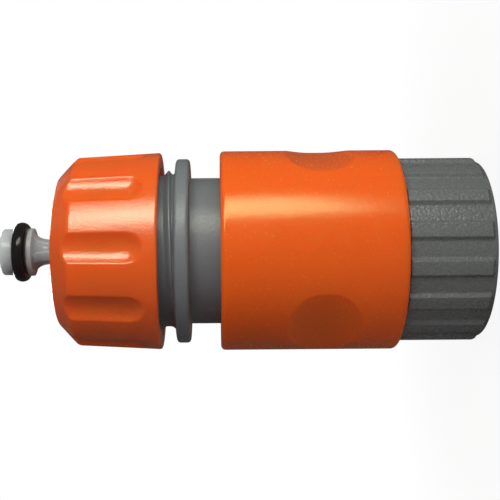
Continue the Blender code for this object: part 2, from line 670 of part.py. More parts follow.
def build_sleeve_spring(finish, parent):
    """Steel coil between the sleeve's land and the body's stop rib, its end turns closed up."""
    bottom = LAND_TOP_Z + GAP + SPRING_WIRE_RADIUS
    top = STOP_RIB_Z - GAP - SPRING_WIRE_RADIUS
    middle_pitch = (top - bottom - 2 * SPRING_END_PITCH) / (SPRING_TURNS - 2)
    curve = bpy.data.curves.new("sleeve_spring", "CURVE")
    curve.dimensions = "3D"
    curve.bevel_depth = SPRING_WIRE_RADIUS
    curve.bevel_resolution = 1
    curve.use_fill_caps = True
    count = SPRING_TURNS * SPRING_STEPS_PER_TURN + 1
    wire = curve.splines.new("POLY")
    wire.points.add(count - 1)
    for spot in range(count):
        turns = spot / SPRING_STEPS_PER_TURN
        closed_turns = min(turns, 1.0) + max(0.0, turns - (SPRING_TURNS - 1))
        open_turns = turns - closed_turns
        height = SPRING_END_PITCH * closed_turns + middle_pitch * open_turns
        angle = math.tau * turns
        x = SPRING_CENTRE * math.cos(angle)
        y = SPRING_CENTRE * math.sin(angle)
        wire.points[spot].co = (x, y, height, 1.0)
    curve.materials.append(finish)
    spring = bpy.data.objects.new("sleeve_spring", curve)
    bpy.context.scene.collection.objects.link(spring)
    spring.parent = parent
    spring.location.z = bottom


def fin_plate(angle):
    """One flat plate through the axis: two fins, stepped for the foot and the guide."""
    side = [
        (FOOT_RADIUS, PLUNGER_Z),
        (FOOT_RADIUS, FOOT_TOP_Z),
        (GUIDE_RADIUS, FOOT_TOP_Z),
        (GUIDE_RADIUS, GUIDE_TOP_Z),
        (NECK_RADIUS, GUIDE_TOP_Z + GUIDE_TAPER),
        (NECK_RADIUS, PLUNGER_COLLAR_Z + PLUNGER_COLLAR_WIDTH / 2),
    ]
    corners = side + [(-radius, height) for radius, height in reversed(side)]
    work = bmesh.new()
    points = [work.verts.new((x, -FIN_THICKNESS / 2, z)) for x, z in corners]
    face = work.faces.new(points)
    grown = bmesh.ops.extrude_face_region(work, geom=[face])
    moved = [item for item in grown["geom"] if isinstance(item, bmesh.types.BMVert)]
    bmesh.ops.translate(work, verts=moved, vec=(0.0, FIN_THICKNESS, 0.0))
    turn_mesh(work, angle)
    return work


def build_valve_plunger(finish, parent):
    seal_half_width = PLUNGER_SEAL_WIRE + GAP
    flare_low = PLUNGER_COLLAR_Z - FLARE_HEIGHT
    flare_side = PLUNGER_COLLAR_RADIUS - SINK / 2
    outline = [(0.0, PLUNGER_Z + SINK), (CORE_RADIUS, PLUNGER_Z + SINK)]
    for step in range(6):
        turn = math.radians(90.0 * step / 5)
        rise = FLARE_HEIGHT * math.sin(turn)
        spread = (flare_side - CORE_RADIUS) * (1.0 - math.cos(turn))
        outline.append((CORE_RADIUS + spread, flare_low + rise))
    outline += [
        (PLUNGER_COLLAR_RADIUS, PLUNGER_COLLAR_Z),
        (PLUNGER_COLLAR_RADIUS, PLUNGER_COLLAR_TOP_Z),
        (PLUNGER_SEAL_GROOVE, PLUNGER_COLLAR_TOP_Z),
        (PLUNGER_SEAL_GROOVE, PLUNGER_SEAL_Z + seal_half_width),
        (HEAD_RADIUS, PLUNGER_SEAL_Z + seal_half_width),
        (HEAD_RADIUS, PLUNGER_TOP_Z - HEAD_EDGE),
        (HEAD_RADIUS - HEAD_EDGE, PLUNGER_TOP_Z),
        (0.0, PLUNGER_TOP_Z),
    ]
    plunger = turned(
        "valve_plunger", outline, finish, PLUNGER_Z, parent, HIDDEN_STEPS, closed=False
    )
    for number, angle in enumerate(FIN_ANGLES, 1):
        fin = finished(f"fin_form_{number}", fin_plate(angle), None, PLUNGER_Z, plunger)
        combine(plunger, fin, "UNION")


def cone_radius(height):
    """Inner radius of the nut's cone at a height."""
    share = (height - NUT_CONE_Z) / (NUT_CONE_TOP_Z - NUT_CONE_Z)
    return NUT_BORE_RADIUS + (NUT_CONE_TOP_RADIUS - NUT_BORE_RADIUS) * share


def scoop_mesh():
    """Ten round-ended grip scoops, as cutters that run out through the nut's front."""
    half = SCOOP_WIDTH / 2
    ball = (half**2 + SCOOP_DEPTH**2) / (2 * SCOOP_DEPTH)
    taper = math.atan2(NUT_BACK_RADIUS - NUT_FRONT_RADIUS, NUT_LENGTH)
    low = arc(0.0, 0.0, ball, -90.0, 0.0, 4)
    outline = [(0.0, -ball)] + low[1:] + [(ball, NUT_LENGTH), (0.0, NUT_LENGTH)]
    work = spun(outline, SCOOP_STEPS, closed=False)
    bmesh.ops.remove_doubles(work, verts=work.verts, dist=MERGE)
    tilt = Matrix.Rotation(-taper, 3, "Y")
    bmesh.ops.rotate(work, verts=work.verts, cent=(0.0, 0.0, 0.0), matrix=tilt)
    start = NUT_Z + SCOOP_MARGIN + half
    reach = NUT_BACK_RADIUS - math.tan(taper) * (SCOOP_MARGIN + half)
    shift = Vector((reach - SCOOP_DEPTH + ball, 0.0, start))
    bmesh.ops.translate(work, verts=work.verts, vec=shift)
    turn_mesh(work, SCOOP_FIRST_ANGLE)
    ring_of_copies(work, SCOOP_COUNT)
    return work


def build_hose_nut(finish, parent):
    chamfer_z = NUT_TOP_Z - NUT_CHAMFER_DROP
    side_height = chamfer_z - NUT_Z - NUT_BACK_EDGE
    side_faces = math.degrees(math.atan2(NUT_DRAFT, side_height))
    chamfer_faces = math.degrees(math.atan2(NUT_FACE_SET_IN, NUT_CHAMFER_DROP))
    outline = [
        (NUT_BORE_RADIUS + NUT_BACK_EDGE, NUT_Z),
        (NUT_BACK_RADIUS - NUT_BACK_EDGE, NUT_Z),
        (NUT_BACK_RADIUS, NUT_Z + NUT_BACK_EDGE),
    ]
    outline += corner_arc(
        NUT_FRONT_RADIUS, chamfer_z, NUT_CHAMFER_ROUND, side_faces, chamfer_faces, 3
    )
    outline += corner_arc(
        NUT_FACE_RADIUS, NUT_TOP_Z, NUT_CHAMFER_ROUND, chamfer_faces, 90.0, 3
    )
    outline += [
        (NUT_MOUTH_RADIUS + NUT_BACK_EDGE, NUT_TOP_Z),
        (NUT_MOUTH_RADIUS, NUT_TOP_Z - NUT_BACK_EDGE),
        (NUT_MOUTH_RADIUS, NUT_CONE_TOP_Z),
        (NUT_CONE_TOP_RADIUS, NUT_CONE_TOP_Z),
        (NUT_BORE_RADIUS, NUT_CONE_Z),
        (NUT_BORE_RADIUS, NUT_Z + NUT_BACK_EDGE),
    ]
    nut = turned("hose_nut", outline, finish, NUT_Z, parent)
    scoops = finished("scoop_cut", scoop_mesh(), None, NUT_Z, nut)
    combine(nut, scoops, "DIFFERENCE")


def build_hose_collet(finish, parent):
    """Slotted ring in the nut's cone, whose teeth close on the hose as the nut is tightened."""
    slope = math.atan2(NUT_BORE_RADIUS - NUT_CONE_TOP_RADIUS, NUT_CONE_TOP_Z - NUT_CONE_Z)
    side_gap = GAP / math.cos(slope)
    outline = [
        (COLLET_BORE_RADIUS, COLLET_Z),
        (cone_radius(COLLET_Z) - side_gap, COLLET_Z),
        (cone_radius(COLLET_TOP_Z) - side_gap, COLLET_TOP_Z),
        (COLLET_TOOTH_RADIUS, COLLET_TOP_Z),
        (COLLET_TOOTH_RADIUS + COLLET_TOOTH_DEPTH, COLLET_TOP_Z - COLLET_TOOTH_PITCH / 2),
        (COLLET_TOOTH_RADIUS, COLLET_TOP_Z - COLLET_TOOTH_PITCH),
        (COLLET_TOOTH_RADIUS + COLLET_TOOTH_DEPTH, COLLET_TOP_Z - COLLET_TOOTH_PITCH * 1.5),
        (COLLET_TOOTH_RADIUS, COLLET_TOP_Z - COLLET_TOOTH_PITCH * 2),
        (COLLET_BORE_RADIUS, COLLET_Z + COLLET_BASE_HEIGHT),
    ]
    collet = turned("hose_collet", outline, finish, COLLET_Z, parent, HIDDEN_STEPS)

    reach = NUT_BORE_RADIUS
    start = COLLET_TOOTH_RADIUS - SINK
    slot_bottom = COLLET_Z + COLLET_BASE_HEIGHT
    slot_top = COLLET_TOP_Z + SINK
    work = block(
        (reach - start, COLLET_SLOT_WIDTH, slot_top - slot_bottom),
        ((reach + start) / 2, 0.0, (slot_top + slot_bottom) / 2),
    )
    ring_of_copies(work, COLLET_SLOT_COUNT)
    slots = finished("collet_slots", work, None, COLLET_Z, collet)
    combine(collet, slots, "DIFFERENCE")


def build_connector():
    clear_scene()
    orange = surface("orange", (0.80, 0.13, 0.02), 0.35)
    grey = surface("body_grey", (0.13, 0.14, 0.15), 0.45)
    dark_grey = surface("adaptor_grey", (0.06, 0.07, 0.07), 0.45)
    pale_grey = surface("plunger_grey", (0.30, 0.31, 0.31), 0.40)
    claw_grey = surface("lock_ring_black", (0.03, 0.03, 0.03), 0.40)
    collet_grey = surface("collet_grey", (0.20, 0.21, 0.22), 0.45)
    rubber = surface("seal_rubber", (0.01, 0.01, 0.01), 0.50)
    steel = surface("spring_steel", (0.55, 0.55, 0.56), 0.30, metallic=1.0)

    tap_half = pivot("tap_half")
    build_tap_adaptor(dark_grey, tap_half)
    build_seal(
        "spigot_o_ring", SPIGOT_SEAL_CENTRE, SPIGOT_SEAL_WIRE, SPIGOT_SEAL_Z, rubber, tap_half
    )
    build_thread_washer(rubber, tap_half)

    hose_half = pivot("hose_half")
    build_lock_ring(claw_grey, hose_half)
    build_connector_body(grey, hose_half)
    build_release_sleeve(orange, hose_half)
    build_sleeve_spring(steel, hose_half)
    build_hose_collet(collet_grey, hose_half)
    build_hose_nut(orange, hose_half)

    valve = pivot("valve")
    valve.parent = hose_half
    build_valve_plunger(pale_grey, valve)
    build_seal(
        "plunger_o_ring", PLUNGER_SEAL_CENTRE, PLUNGER_SEAL_WIRE, PLUNGER_SEAL_Z, rubber, valve
    )


build_connector()
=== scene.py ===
import math

import bmesh
import bpy
import numpy as np
from mathutils import Matrix, Quaternion, Vector


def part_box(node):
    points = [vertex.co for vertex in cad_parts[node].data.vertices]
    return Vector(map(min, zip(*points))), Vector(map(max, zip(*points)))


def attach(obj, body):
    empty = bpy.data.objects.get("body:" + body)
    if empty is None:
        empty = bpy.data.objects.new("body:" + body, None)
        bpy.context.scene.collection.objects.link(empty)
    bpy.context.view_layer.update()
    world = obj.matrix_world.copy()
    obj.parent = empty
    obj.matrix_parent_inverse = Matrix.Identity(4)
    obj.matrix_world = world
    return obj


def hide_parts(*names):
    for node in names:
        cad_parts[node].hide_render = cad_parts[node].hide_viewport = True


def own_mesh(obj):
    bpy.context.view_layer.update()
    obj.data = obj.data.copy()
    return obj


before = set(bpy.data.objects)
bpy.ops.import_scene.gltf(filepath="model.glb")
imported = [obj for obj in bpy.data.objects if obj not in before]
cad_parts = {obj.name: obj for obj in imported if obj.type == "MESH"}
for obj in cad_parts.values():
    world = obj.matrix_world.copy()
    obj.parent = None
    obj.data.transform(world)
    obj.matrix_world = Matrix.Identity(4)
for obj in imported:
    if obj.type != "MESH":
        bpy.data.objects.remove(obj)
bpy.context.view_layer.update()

mm = 0.001
scene = bpy.context.scene
print("frame loaded")

# sizes in the dictionaries are in millimetres and degrees, heights are above the floor,
# and a mesh is scaled to metres as it is made

# how far an edge is rounded over
toothEdge = 0.06
barbEdge = 0.08
crispEdge = 0.1
grooveEdge = 0.12
fineEdge = 0.15
softEdge = 0.2
plainEdge = 0.25
easedEdge = 0.3
fullEdge = 0.4

plainColumns = 128  # round a piece that is only turned
cutMargin = 0.4  # how far a cutter reaches past what it cuts
onSurface = 0.01  # a point this near a surface lies on it
mergeGap = 0.0005  # between points that become one
shortestEdge = 0.0002


# shaping tools


def nodeSpan(node):  # foot, top and outer radius of one of the frame's solids
    low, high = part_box(node)
    return low.z / mm, high.z / mm, high.x / mm


# corners are (radius, height, round), and a round turns its corner into an arc
def softened(corners, arcSteps=6):
    points = []
    for index, (radius, height, size) in enumerate(corners):
        here = np.array((radius, height), float)
        if not size:
            points.append(here)
            continue
        before = np.array(corners[index - 1][:2]) - here
        after = np.array(corners[(index + 1) % len(corners)][:2]) - here
        before /= np.linalg.norm(before)
        after /= np.linalg.norm(after)
        half = math.acos(np.clip(before @ after, -1, 1)) / 2
        inward = (before + after) / np.linalg.norm(before + after)
        centre = here + inward * size / math.sin(half)
        start = here + before * size / math.tan(half) - centre
        end = here + after * size / math.tan(half) - centre
        first = math.atan2(start[1], start[0])
        sweep = math.atan2(start[0] * end[1] - start[1] * end[0], start @ end)
        for step in range(arcSteps + 1):
            turn = first + sweep * step / arcSteps
            points.append(centre + size * np.array((math.cos(turn), math.sin(turn))))
    return points


# a long straight gets a point near each end, which keeps its shading flat, and more between
def spaced(points, longest=3.0, fineStep=0.25, isFine=None, closed=True, hold=0.08):
    result = []
    following = points[1:] + points[:1] if closed else points[1:]
    for here, there in zip(points, following):
        result.append(here)
        length = np.linalg.norm(there - here)
        fine = isFine is not None and isFine(here) and isFine(there)
        if length > 5 * hold:
            count = math.ceil((length - 2 * hold) / (fineStep if fine else longest)) + 1
            shares = np.linspace(hold / length, 1 - hold / length, max(2, count))
            result += [here + (there - here) * share for share in shares]
    if not closed:
        result.append(points[-1])
    return result


def evenAngles(count):
    return np.arange(count) * math.tau / count


# every column near the middles, and one in a few elsewhere
def closeAngles(count, middles, reach, thinning=4):
    angles = evenAngles(count)
    away = (angles[:, None] - np.radians(middles) + math.pi) % math.tau - math.pi
    near = np.abs(away).min(axis=1) < math.radians(reach)
    return angles[near | (np.arange(count) % thinning == 0)]


# surface turned round the axis; a rule may move each point in or out
def lathe(points, angles, rule=None, closed=True):
    rings = np.array(points)
    turn, radius = np.meshgrid(angles, rings[:, 0])
    height = np.meshgrid(angles, rings[:, 1])[1]
    if rule is not None:
        radius = rule(radius, turn, height)
    verts = np.stack((radius * np.cos(turn), radius * np.sin(turn), height), axis=-1)
    grid = np.arange(radius.size).reshape(radius.shape)
    rows = len(rings) if closed else len(rings) - 1
    upper = np.roll(grid, -1, axis=0)[:rows]
    lower = grid[:rows]
    faces = np.stack(
        (lower, np.roll(lower, -1, axis=1), np.roll(upper, -1, axis=1), upper), axis=-1
    )
    return verts.reshape(-1, 3), faces.reshape(-1, 4)


# how far a thread's ridge stands off its root
def threadRise(thread, turn, height):
    climb = (height - thread["crestHeight"]) / thread["pitch"] - turn / math.tau
    nearest = np.round(climb)
    away = np.abs(climb - nearest) * thread["pitch"]
    along = 360 * nearest + np.degrees(turn)
    flank = (thread["halfBase"] - away) / (thread["halfBase"] - thread["halfCrest"])
    entry = np.clip((along - thread["firstAngle"]) / thread["fade"], 0, 1)
    leave = np.clip((thread["lastAngle"] - along) / thread["fade"], 0, 1)
    return thread["depth"] * np.clip(flank, 0, 1) ** thread["hollow"] * entry * leave


# threaded stretch whose rows run along the helix, so that the crest is one clean edge;
# half rows are shares of the pitch from a crest to the middle of the groove
def helixBand(thread, angles, low, high, radiusAt):
    halfRows = thread["halfRows"]
    shares = np.array([-0.5, *(-share for share in reversed(halfRows)), 0, *halfRows])
    first = math.floor((low - thread["crestHeight"]) / thread["pitch"]) - 2
    last = math.ceil((high - thread["crestHeight"]) / thread["pitch"]) + 2
    rows = np.concatenate([turn + shares for turn in range(first, last)])
    turn = np.broadcast_to(angles, (len(rows), len(angles)))
    climb = rows[:, None] + turn / math.tau
    height = np.clip(thread["crestHeight"] + thread["pitch"] * climb, low, high)
    radius = radiusAt(turn, height)
    verts = np.stack((radius * np.cos(turn), radius * np.sin(turn), height), axis=-1)
    grid = np.arange(radius.size).reshape(radius.shape)
    beside = np.roll(grid, -1, axis=1)
    beside[:, -1] = np.roll(grid[:, 0], -len(shares))  # the next turn up
    usable = len(rows) - len(shares) - 1
    faces = np.stack(
        (grid[:usable], beside[:usable], beside[1 : usable + 1], grid[1 : usable + 1]), axis=-1
    )
    return verts.reshape(-1, 3), faces.reshape(-1, 4)


# the smaller of two radii, with the edge between them rounded over
def softSmaller(one, other, blend):
    share = np.clip(0.5 + (other - one) / (2 * blend), 0, 1)
    return other + (one - other) * share - blend * share * (1 - share)


def joinedMesh(name, grids):
    verts, faces, start = [], [], 0
    for points, corners in grids:
        verts.append(points * mm)
        faces.append(corners + start)
        start += len(points)
    mesh = bpy.data.meshes.new(name)
    mesh.from_pydata(np.concatenate(verts).tolist(), [], np.concatenate(faces).tolist())
    work = bmesh.new()
    work.from_mesh(mesh)
    bmesh.ops.remove_doubles(work, verts=work.verts, dist=mergeGap * mm)
    bmesh.ops.dissolve_degenerate(work, edges=work.edges, dist=shortestEdge * mm)
    bmesh.ops.recalc_face_normals(work, faces=work.faces)
    work.to_mesh(mesh)
    work.free()
    return mesh


def newObject(name, mesh):
    piece = bpy.data.objects.new(name, mesh)
    scene.collection.objects.link(piece)
    return piece


def newPiece(name, grids):
    return newObject(name, joinedMesh(name, grids))


# joins or cuts with helper objects, keeps the result as the mesh and drops the helpers
def combined(piece, helpers, operation):
    for helper in helpers:
        step = piece.modifiers.new(helper.name, "BOOLEAN")
        step.operation = operation
        step.solver = "EXACT"
        step.object = helper
    graph = bpy.context.evaluated_depsgraph_get()
    mesh = bpy.data.meshes.new_from_object(piece.evaluated_get(graph))
    piece.modifiers.clear()
    piece.data = mesh
    for helper in helpers:
        bpy.data.objects.remove(helper, do_unlink=True)
    return piece


# finish, body, slot and the solid that the piece stands for
def dress(piece, finish, body, node, sharpAngle=38):
    mesh = piece.data
    mesh.shade_smooth()
    mesh.set_sharp_from_angle(angle=math.radians(sharpAngle))
    mesh.materials.clear()
    mesh.materials.append(finish)
    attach(piece, body)
    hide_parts(node)
    print("made", piece.name, len(mesh.polygons), "faces")
    return piece


# finishes


def nodeLink(tree, source, output, target, socket):
    tree.links.new(source.outputs[output], target.inputs[socket])


# what a moulded material is unless its own look says otherwise
plainLook = {
    "ior": 1.46,
    "specular": 0.5,
    "highlightTint": (1, 1, 1),
    "softness": 0,
    "softDepth": (1, 1, 1),
    "driftScale": 45,
}


# plastic or rubber with eroded-mould grain, slight colour drift and uneven gloss
def mouldedPlastic(name, ownLook):
    look = {**plainLook, **ownLook}
    finish = bpy.data.materials.new(name)
    finish.use_nodes = True
    finish.diffuse_color = (*look["color"], 1)
    tree = finish.node_tree
    shader = tree.nodes["Principled BSDF"]
    shader.inputs["IOR"].default_value = look["ior"]
    shader.inputs["Specular IOR Level"].default_value = look["specular"]
    shader.inputs["Specular Tint"].default_value = (*look["highlightTint"], 1)
    shader.inputs["Subsurface Weight"].default_value = look["softness"]
    shader.inputs["Subsurface Radius"].default_value = look["softDepth"]
    shader.inputs["Subsurface Scale"].default_value = mm
    place = tree.nodes.new("ShaderNodeTexCoord")

    drift = tree.nodes.new("ShaderNodeTexNoise")
    drift.inputs["Scale"].default_value = look["driftScale"]
    drift.inputs["Detail"].default_value = 3
    nodeLink(tree, place, "Object", drift, "Vector")
    tint = tree.nodes.new("ShaderNodeMix")
    tint.data_type = "RGBA"
    tint.inputs["A"].default_value = (*look["color"], 1)
    tint.inputs["B"].default_value = (*look["shade"], 1)
    nodeLink(tree, drift, "Fac", tint, "Factor")
    nodeLink(tree, tint, "Result", shader, "Base Color")

    grain = tree.nodes.new("ShaderNodeTexNoise")
    grain.inputs["Scale"].default_value = look["grainScale"]
    grain.inputs["Detail"].default_value = 2
    grain.inputs["Roughness"].default_value = 0.6
    nodeLink(tree, place, "Object", grain, "Vector")
    gloss = tree.nodes.new("ShaderNodeMapRange")
    gloss.inputs["From Min"].default_value = 0.3
    gloss.inputs["From Max"].default_value = 0.7
    gloss.inputs["To Min"].default_value = look["roughness"] - look["glossDrift"]
    gloss.inputs["To Max"].default_value = look["roughness"] + look["glossDrift"]
    nodeLink(tree, grain, "Fac", gloss, "Value")
    nodeLink(tree, gloss, "Result", shader, "Roughness")
    bump = tree.nodes.new("ShaderNodeBump")
    bump.inputs["Strength"].default_value = look["grainStrength"]
    bump.inputs["Distance"].default_value = look["grainDepth"] * mm
    nodeLink(tree, grain, "Fac", bump, "Height")
    nodeLink(tree, bump, "Normal", shader, "Normal")
    return finish


orangeLook = {
    "color": (0.84, 0.127, 0.014),
    "shade": (0.81, 0.117, 0.012),
    "ior": 1.55,
    "specular": 0.72,
    "highlightTint": (0.70, 1.0, 0.50),
    "roughness": 0.21,
    "glossDrift": 0.08,
    "grainScale": 2600,
    "grainStrength": 0.8,
    "grainDepth": 0.03,
    "softness": 0.6,
    "softDepth": (5.0, 0.4, 0.2),
}
# the nut is glossier than the sleeve, over a deeper grain
nutLook = {
    **orangeLook,
    "ior": 1.6,
    "specular": 1.0,
    "highlightTint": (0.75, 1.0, 0.85),
    "roughness": 0.19,
    "grainDepth": 0.07,
}
bodyLook = {
    "color": (0.158, 0.181, 0.201),
    "shade": (0.146, 0.167, 0.185),
    "ior": 1.55,
    "specular": 0.55,
    "roughness": 0.36,
    "glossDrift": 0.06,
    "grainScale": 2300,
    "grainStrength": 0.9,
    "grainDepth": 0.08,
}
adaptorLook = {
    "color": (0.136, 0.153, 0.160),
    "shade": (0.121, 0.136, 0.142),
    "ior": 1.55,
    "specular": 0.7,
    "roughness": 0.27,
    "glossDrift": 0.10,
    "grainScale": 2000,
    "grainStrength": 1.0,
    "grainDepth": 0.13,
}
plungerLook = {
    "color": (0.455, 0.495, 0.530),
    "shade": (0.425, 0.462, 0.495),
    "softness": 1.0,
    "softDepth": (4.5, 4.5, 4.5),
    "roughness": 0.22,
    "glossDrift": 0.04,
    "grainScale": 1800,
    "grainStrength": 0.2,
    "grainDepth": 0.02,
}
lockRingLook = {
    "color": (0.030, 0.031, 0.033),
    "shade": (0.024, 0.025, 0.026),
    "roughness": 0.38,
    "glossDrift": 0.04,
    "grainScale": 2200,
    "grainStrength": 0.3,
    "grainDepth": 0.03,
}
colletLook = {
    "color": (0.200, 0.212, 0.220),
    "shade": (0.184, 0.194, 0.200),
    "roughness": 0.42,
    "glossDrift": 0.05,
    "grainScale": 2200,
    "grainStrength": 0.4,
    "grainDepth": 0.03,
}
sealLook = {
    "color": (0.008, 0.008, 0.009),
    "shade": (0.012, 0.012, 0.013),
    "roughness": 0.18,
    "glossDrift": 0.08,
    "grainScale": 1500,
    "grainStrength": 0.35,
    "grainDepth": 0.04,
}
steelLook = {
    "color": (0.56, 0.56, 0.57),
    "roughness": 0.18,
    "roughestMark": 0.38,
    "drawnScale": 900,
}


# drawn spring wire, with faint marks along it
def drawnSteel(name, look):
    finish = bpy.data.materials.new(name)
    finish.use_nodes = True
    tree = finish.node_tree
    shader = tree.nodes["Principled BSDF"]
    shader.inputs["Base Color"].default_value = (*look["color"], 1)
    shader.inputs["Metallic"].default_value = 1
    place = tree.nodes.new("ShaderNodeTexCoord")
    marks = tree.nodes.new("ShaderNodeTexNoise")
    marks.inputs["Scale"].default_value = look["drawnScale"]
    marks.inputs["Detail"].default_value = 3
    nodeLink(tree, place, "Object", marks, "Vector")
    gloss = tree.nodes.new("ShaderNodeMapRange")
    gloss.inputs["To Min"].default_value = look["roughness"]
    gloss.inputs["To Max"].default_value = look["roughestMark"]
    nodeLink(tree, marks, "Fac", gloss, "Value")
    nodeLink(tree, gloss, "Result", shader, "Roughness")
    return finish


sleevePlastic = mouldedPlastic("sleeve plastic", orangeLook)
nutPlastic = mouldedPlastic("nut plastic", nutLook)
bodyPlastic = mouldedPlastic("body plastic", bodyLook)
adaptorPlastic = mouldedPlastic("adaptor plastic", adaptorLook)
plungerPlastic = mouldedPlastic("plunger plastic", plungerLook)
lockRingPlastic = mouldedPlastic("lock ring plastic", lockRingLook)
colletPlastic = mouldedPlastic("collet plastic", colletLook)
sealRubber = mouldedPlastic("seal rubber", sealLook)
springSteel = drawnSteel("spring steel", steelLook)
print("finishes made")


# tap adaptor: ribbed skirt with a pipe thread inside, and the spigot that plugs in

adaptorFoot, adaptorTop, _ = nodeSpan("tap_adaptor")
adaptor = {
    "shoulder": 14.6,
    "skirtRadius": 15.85,
    "boreRadius": 13.2,
    "boreDepth": 12.2,
    "leadIn": 0.6,
    "threadStop": 2.6,
    "ribCount": 16,
    "firstRib": 11.25,
    "halfCrest": 4.15,
    "flank": 1.8,
    "ribRise": 0.65,
    "ribRound": 0.2,
    "ribFillet": 0.5,
    "ribStart": 0.45,
    "ribSlope": 0.7,
    "ribReach": 0.5,
    "ribMargin": 0.1,
    "edgeRound": 0.4,
    "waterway": 4.0,
    "spigotRadius": 7.9,
    "tipBevel": 1.0,
    "lockGrooveDepth": 0.1,
    "ridgeRadius": 9.2,
    "footTop": 16.9,
    "grooveTop": 20.0,
    "ridgeTop": 21.4,
    "rampTop": 22.9,
    "sealCentre": 33.0,
    "sealHalfWidth": 1.4,
    "sealGroove": 5.55,
}
tapThread = {
    "pitch": 1.814,
    "depth": 1.1,
    "halfBase": 0.86,
    "halfCrest": 0.12,
    "hollow": 1.0,
    "crestHeight": 1.2,
    "firstAngle": 0,
    "lastAngle": 1800,
    "fade": 60,
    "halfRows": (0.066, 0.1, 0.18, 0.27, 0.36, 0.45),
}


def buildTapAdaptor(a):
    # one rib's section, unrolled, gives the angles of the columns and how far each stands out
    unroll = math.radians(1) * a["skirtRadius"]
    halfPitch = 180 / a["ribCount"] * unroll
    crest, foot = a["halfCrest"] * unroll, (a["halfCrest"] + a["flank"]) * unroll
    rise, soft, fillet = a["ribRise"], a["ribRound"], a["ribFillet"]
    section = softened(
        [
            (-halfPitch, 0, 0),
            (-foot, 0, fillet),
            (-crest, rise, soft),
            (crest, rise, soft),
            (foot, 0, fillet),
            (halfPitch, 0, 0),
        ],
        arcSteps=3,
    )
    section = np.array(spaced(section, longest=0.8, closed=False, hold=0.1)[:-1])
    ribs = [a["firstRib"] + 360 * rib / a["ribCount"] for rib in range(a["ribCount"])]
    angles = np.concatenate([np.radians(rib + section[:, 0] / unroll) for rib in ribs]) % math.tau
    order = np.argsort(angles)
    rises = np.tile(section[:, 1], a["ribCount"])[order]
    angles = angles[order]

    def ribbed(radius, turn, height):
        ramp = np.clip((height - a["ribStart"]) / a["ribSlope"], 0, 1)
        ramp = ramp * ramp * (3 - 2 * ramp)
        onSkirt = radius > a["skirtRadius"] - a["ribReach"]
        belowShoulder = height < a["shoulder"] + onSurface
        return radius + rises * ramp * (onSkirt & belowShoulder)

    def threaded(turn, height):
        return a["boreRadius"] - threadRise(tapThread, turn, height)

    threadLow, threadHigh = a["leadIn"], a["boreDepth"] - a["threadStop"]
    spigot, groove = a["spigotRadius"], a["sealGroove"]
    sealLow = a["sealCentre"] - a["sealHalfWidth"]
    sealHigh = a["sealCentre"] + a["sealHalfWidth"]
    # the rib has its whole height by here
    ribFull = a["ribStart"] + a["ribSlope"] + a["ribMargin"]
    corners = [
        (a["boreRadius"], threadHigh, 0),
        (a["boreRadius"], a["boreDepth"], easedEdge),
        (a["waterway"], a["boreDepth"], fullEdge),
        (a["waterway"], adaptorTop, easedEdge),
        (spigot - a["tipBevel"], adaptorTop, softEdge),
        (spigot, adaptorTop - a["tipBevel"], fullEdge),
        (spigot, sealHigh, grooveEdge),
        (groove, sealHigh, fineEdge),
        (groove, sealLow, fineEdge),
        (spigot, sealLow, grooveEdge),
        (spigot, a["rampTop"], fullEdge),
        (a["ridgeRadius"], a["ridgeTop"], easedEdge),
        (a["ridgeRadius"], a["grooveTop"], fineEdge),
        (spigot - a["lockGrooveDepth"], a["grooveTop"], softEdge),
        (spigot - a["lockGrooveDepth"], a["footTop"], easedEdge),
        (a["ridgeRadius"], a["footTop"], easedEdge),
        (a["ridgeRadius"], a["shoulder"], fullEdge),
        (a["skirtRadius"], a["shoulder"], plainEdge),
        (a["skirtRadius"], ribFull, 0),
        (a["skirtRadius"], adaptorFoot, a["edgeRound"]),
        (a["boreRadius"] + a["leadIn"], adaptorFoot, fineEdge),
        (a["boreRadius"], threadLow, 0),
    ]

    def onRibEnds(point):
        onSide = point[0] > a["skirtRadius"] - a["ribMargin"]
        return onSide and point[1] < ribFull + onSurface

    outline = spaced(softened(corners), fineStep=0.08, isFine=onRibEnds, closed=False)
    grids = [
        lathe(outline, angles, ribbed, closed=False),
        helixBand(tapThread, angles, threadLow, threadHigh, threaded),
    ]
    return newPiece("detailed_tap_adaptor", grids)


dress(buildTapAdaptor(adaptor), adaptorPlastic, "tap_half", "tap_adaptor")


# seals: rings of round section, in place of the frame's solids


def buildRing(name, centre, wire, height, squeeze, columns=160, aroundSteps=28):
    section = [
        np.array((centre + wire * math.cos(turn), height + wire * squeeze * math.sin(turn)))
        for turn in evenAngles(aroundSteps)
    ]
    return newPiece(name, [lathe(section, evenAngles(columns))])


def ringFromNode(name, node, finish, body, squeeze=1.0):
    low, high, reach = nodeSpan(node)
    wire = (high - low) / 2
    ring = buildRing(name, reach - wire, wire, (low + high) / 2, squeeze)
    return dress(ring, finish, body, node)


ringFromNode("detailed_spigot_ring", "spigot_o_ring", sealRubber, "tap_half")
# the plunger's ring is squeezed until it fills its groove
ringFromNode(
    "detailed_plunger_ring", "plunger_o_ring", sealRubber, "valve_plunger", squeeze=1.25
)

washer = {"holeRadius": 6.5, "edgeRound": 0.25}


def buildThreadWasher(w):
    foot, top, reach = nodeSpan("thread_washer")
    corners = [
        (w["holeRadius"], top, w["edgeRound"]),
        (w["holeRadius"], foot, w["edgeRound"]),
        (reach, foot, w["edgeRound"]),
        (reach, top, w["edgeRound"]),
    ]
    outline = spaced(softened(corners))
    return newPiece("detailed_washer", [lathe(outline, evenAngles(plainColumns))])


dress(buildThreadWasher(washer), sealRubber, "tap_half", "thread_washer")


# lock ring: four hooked claws on a springy base

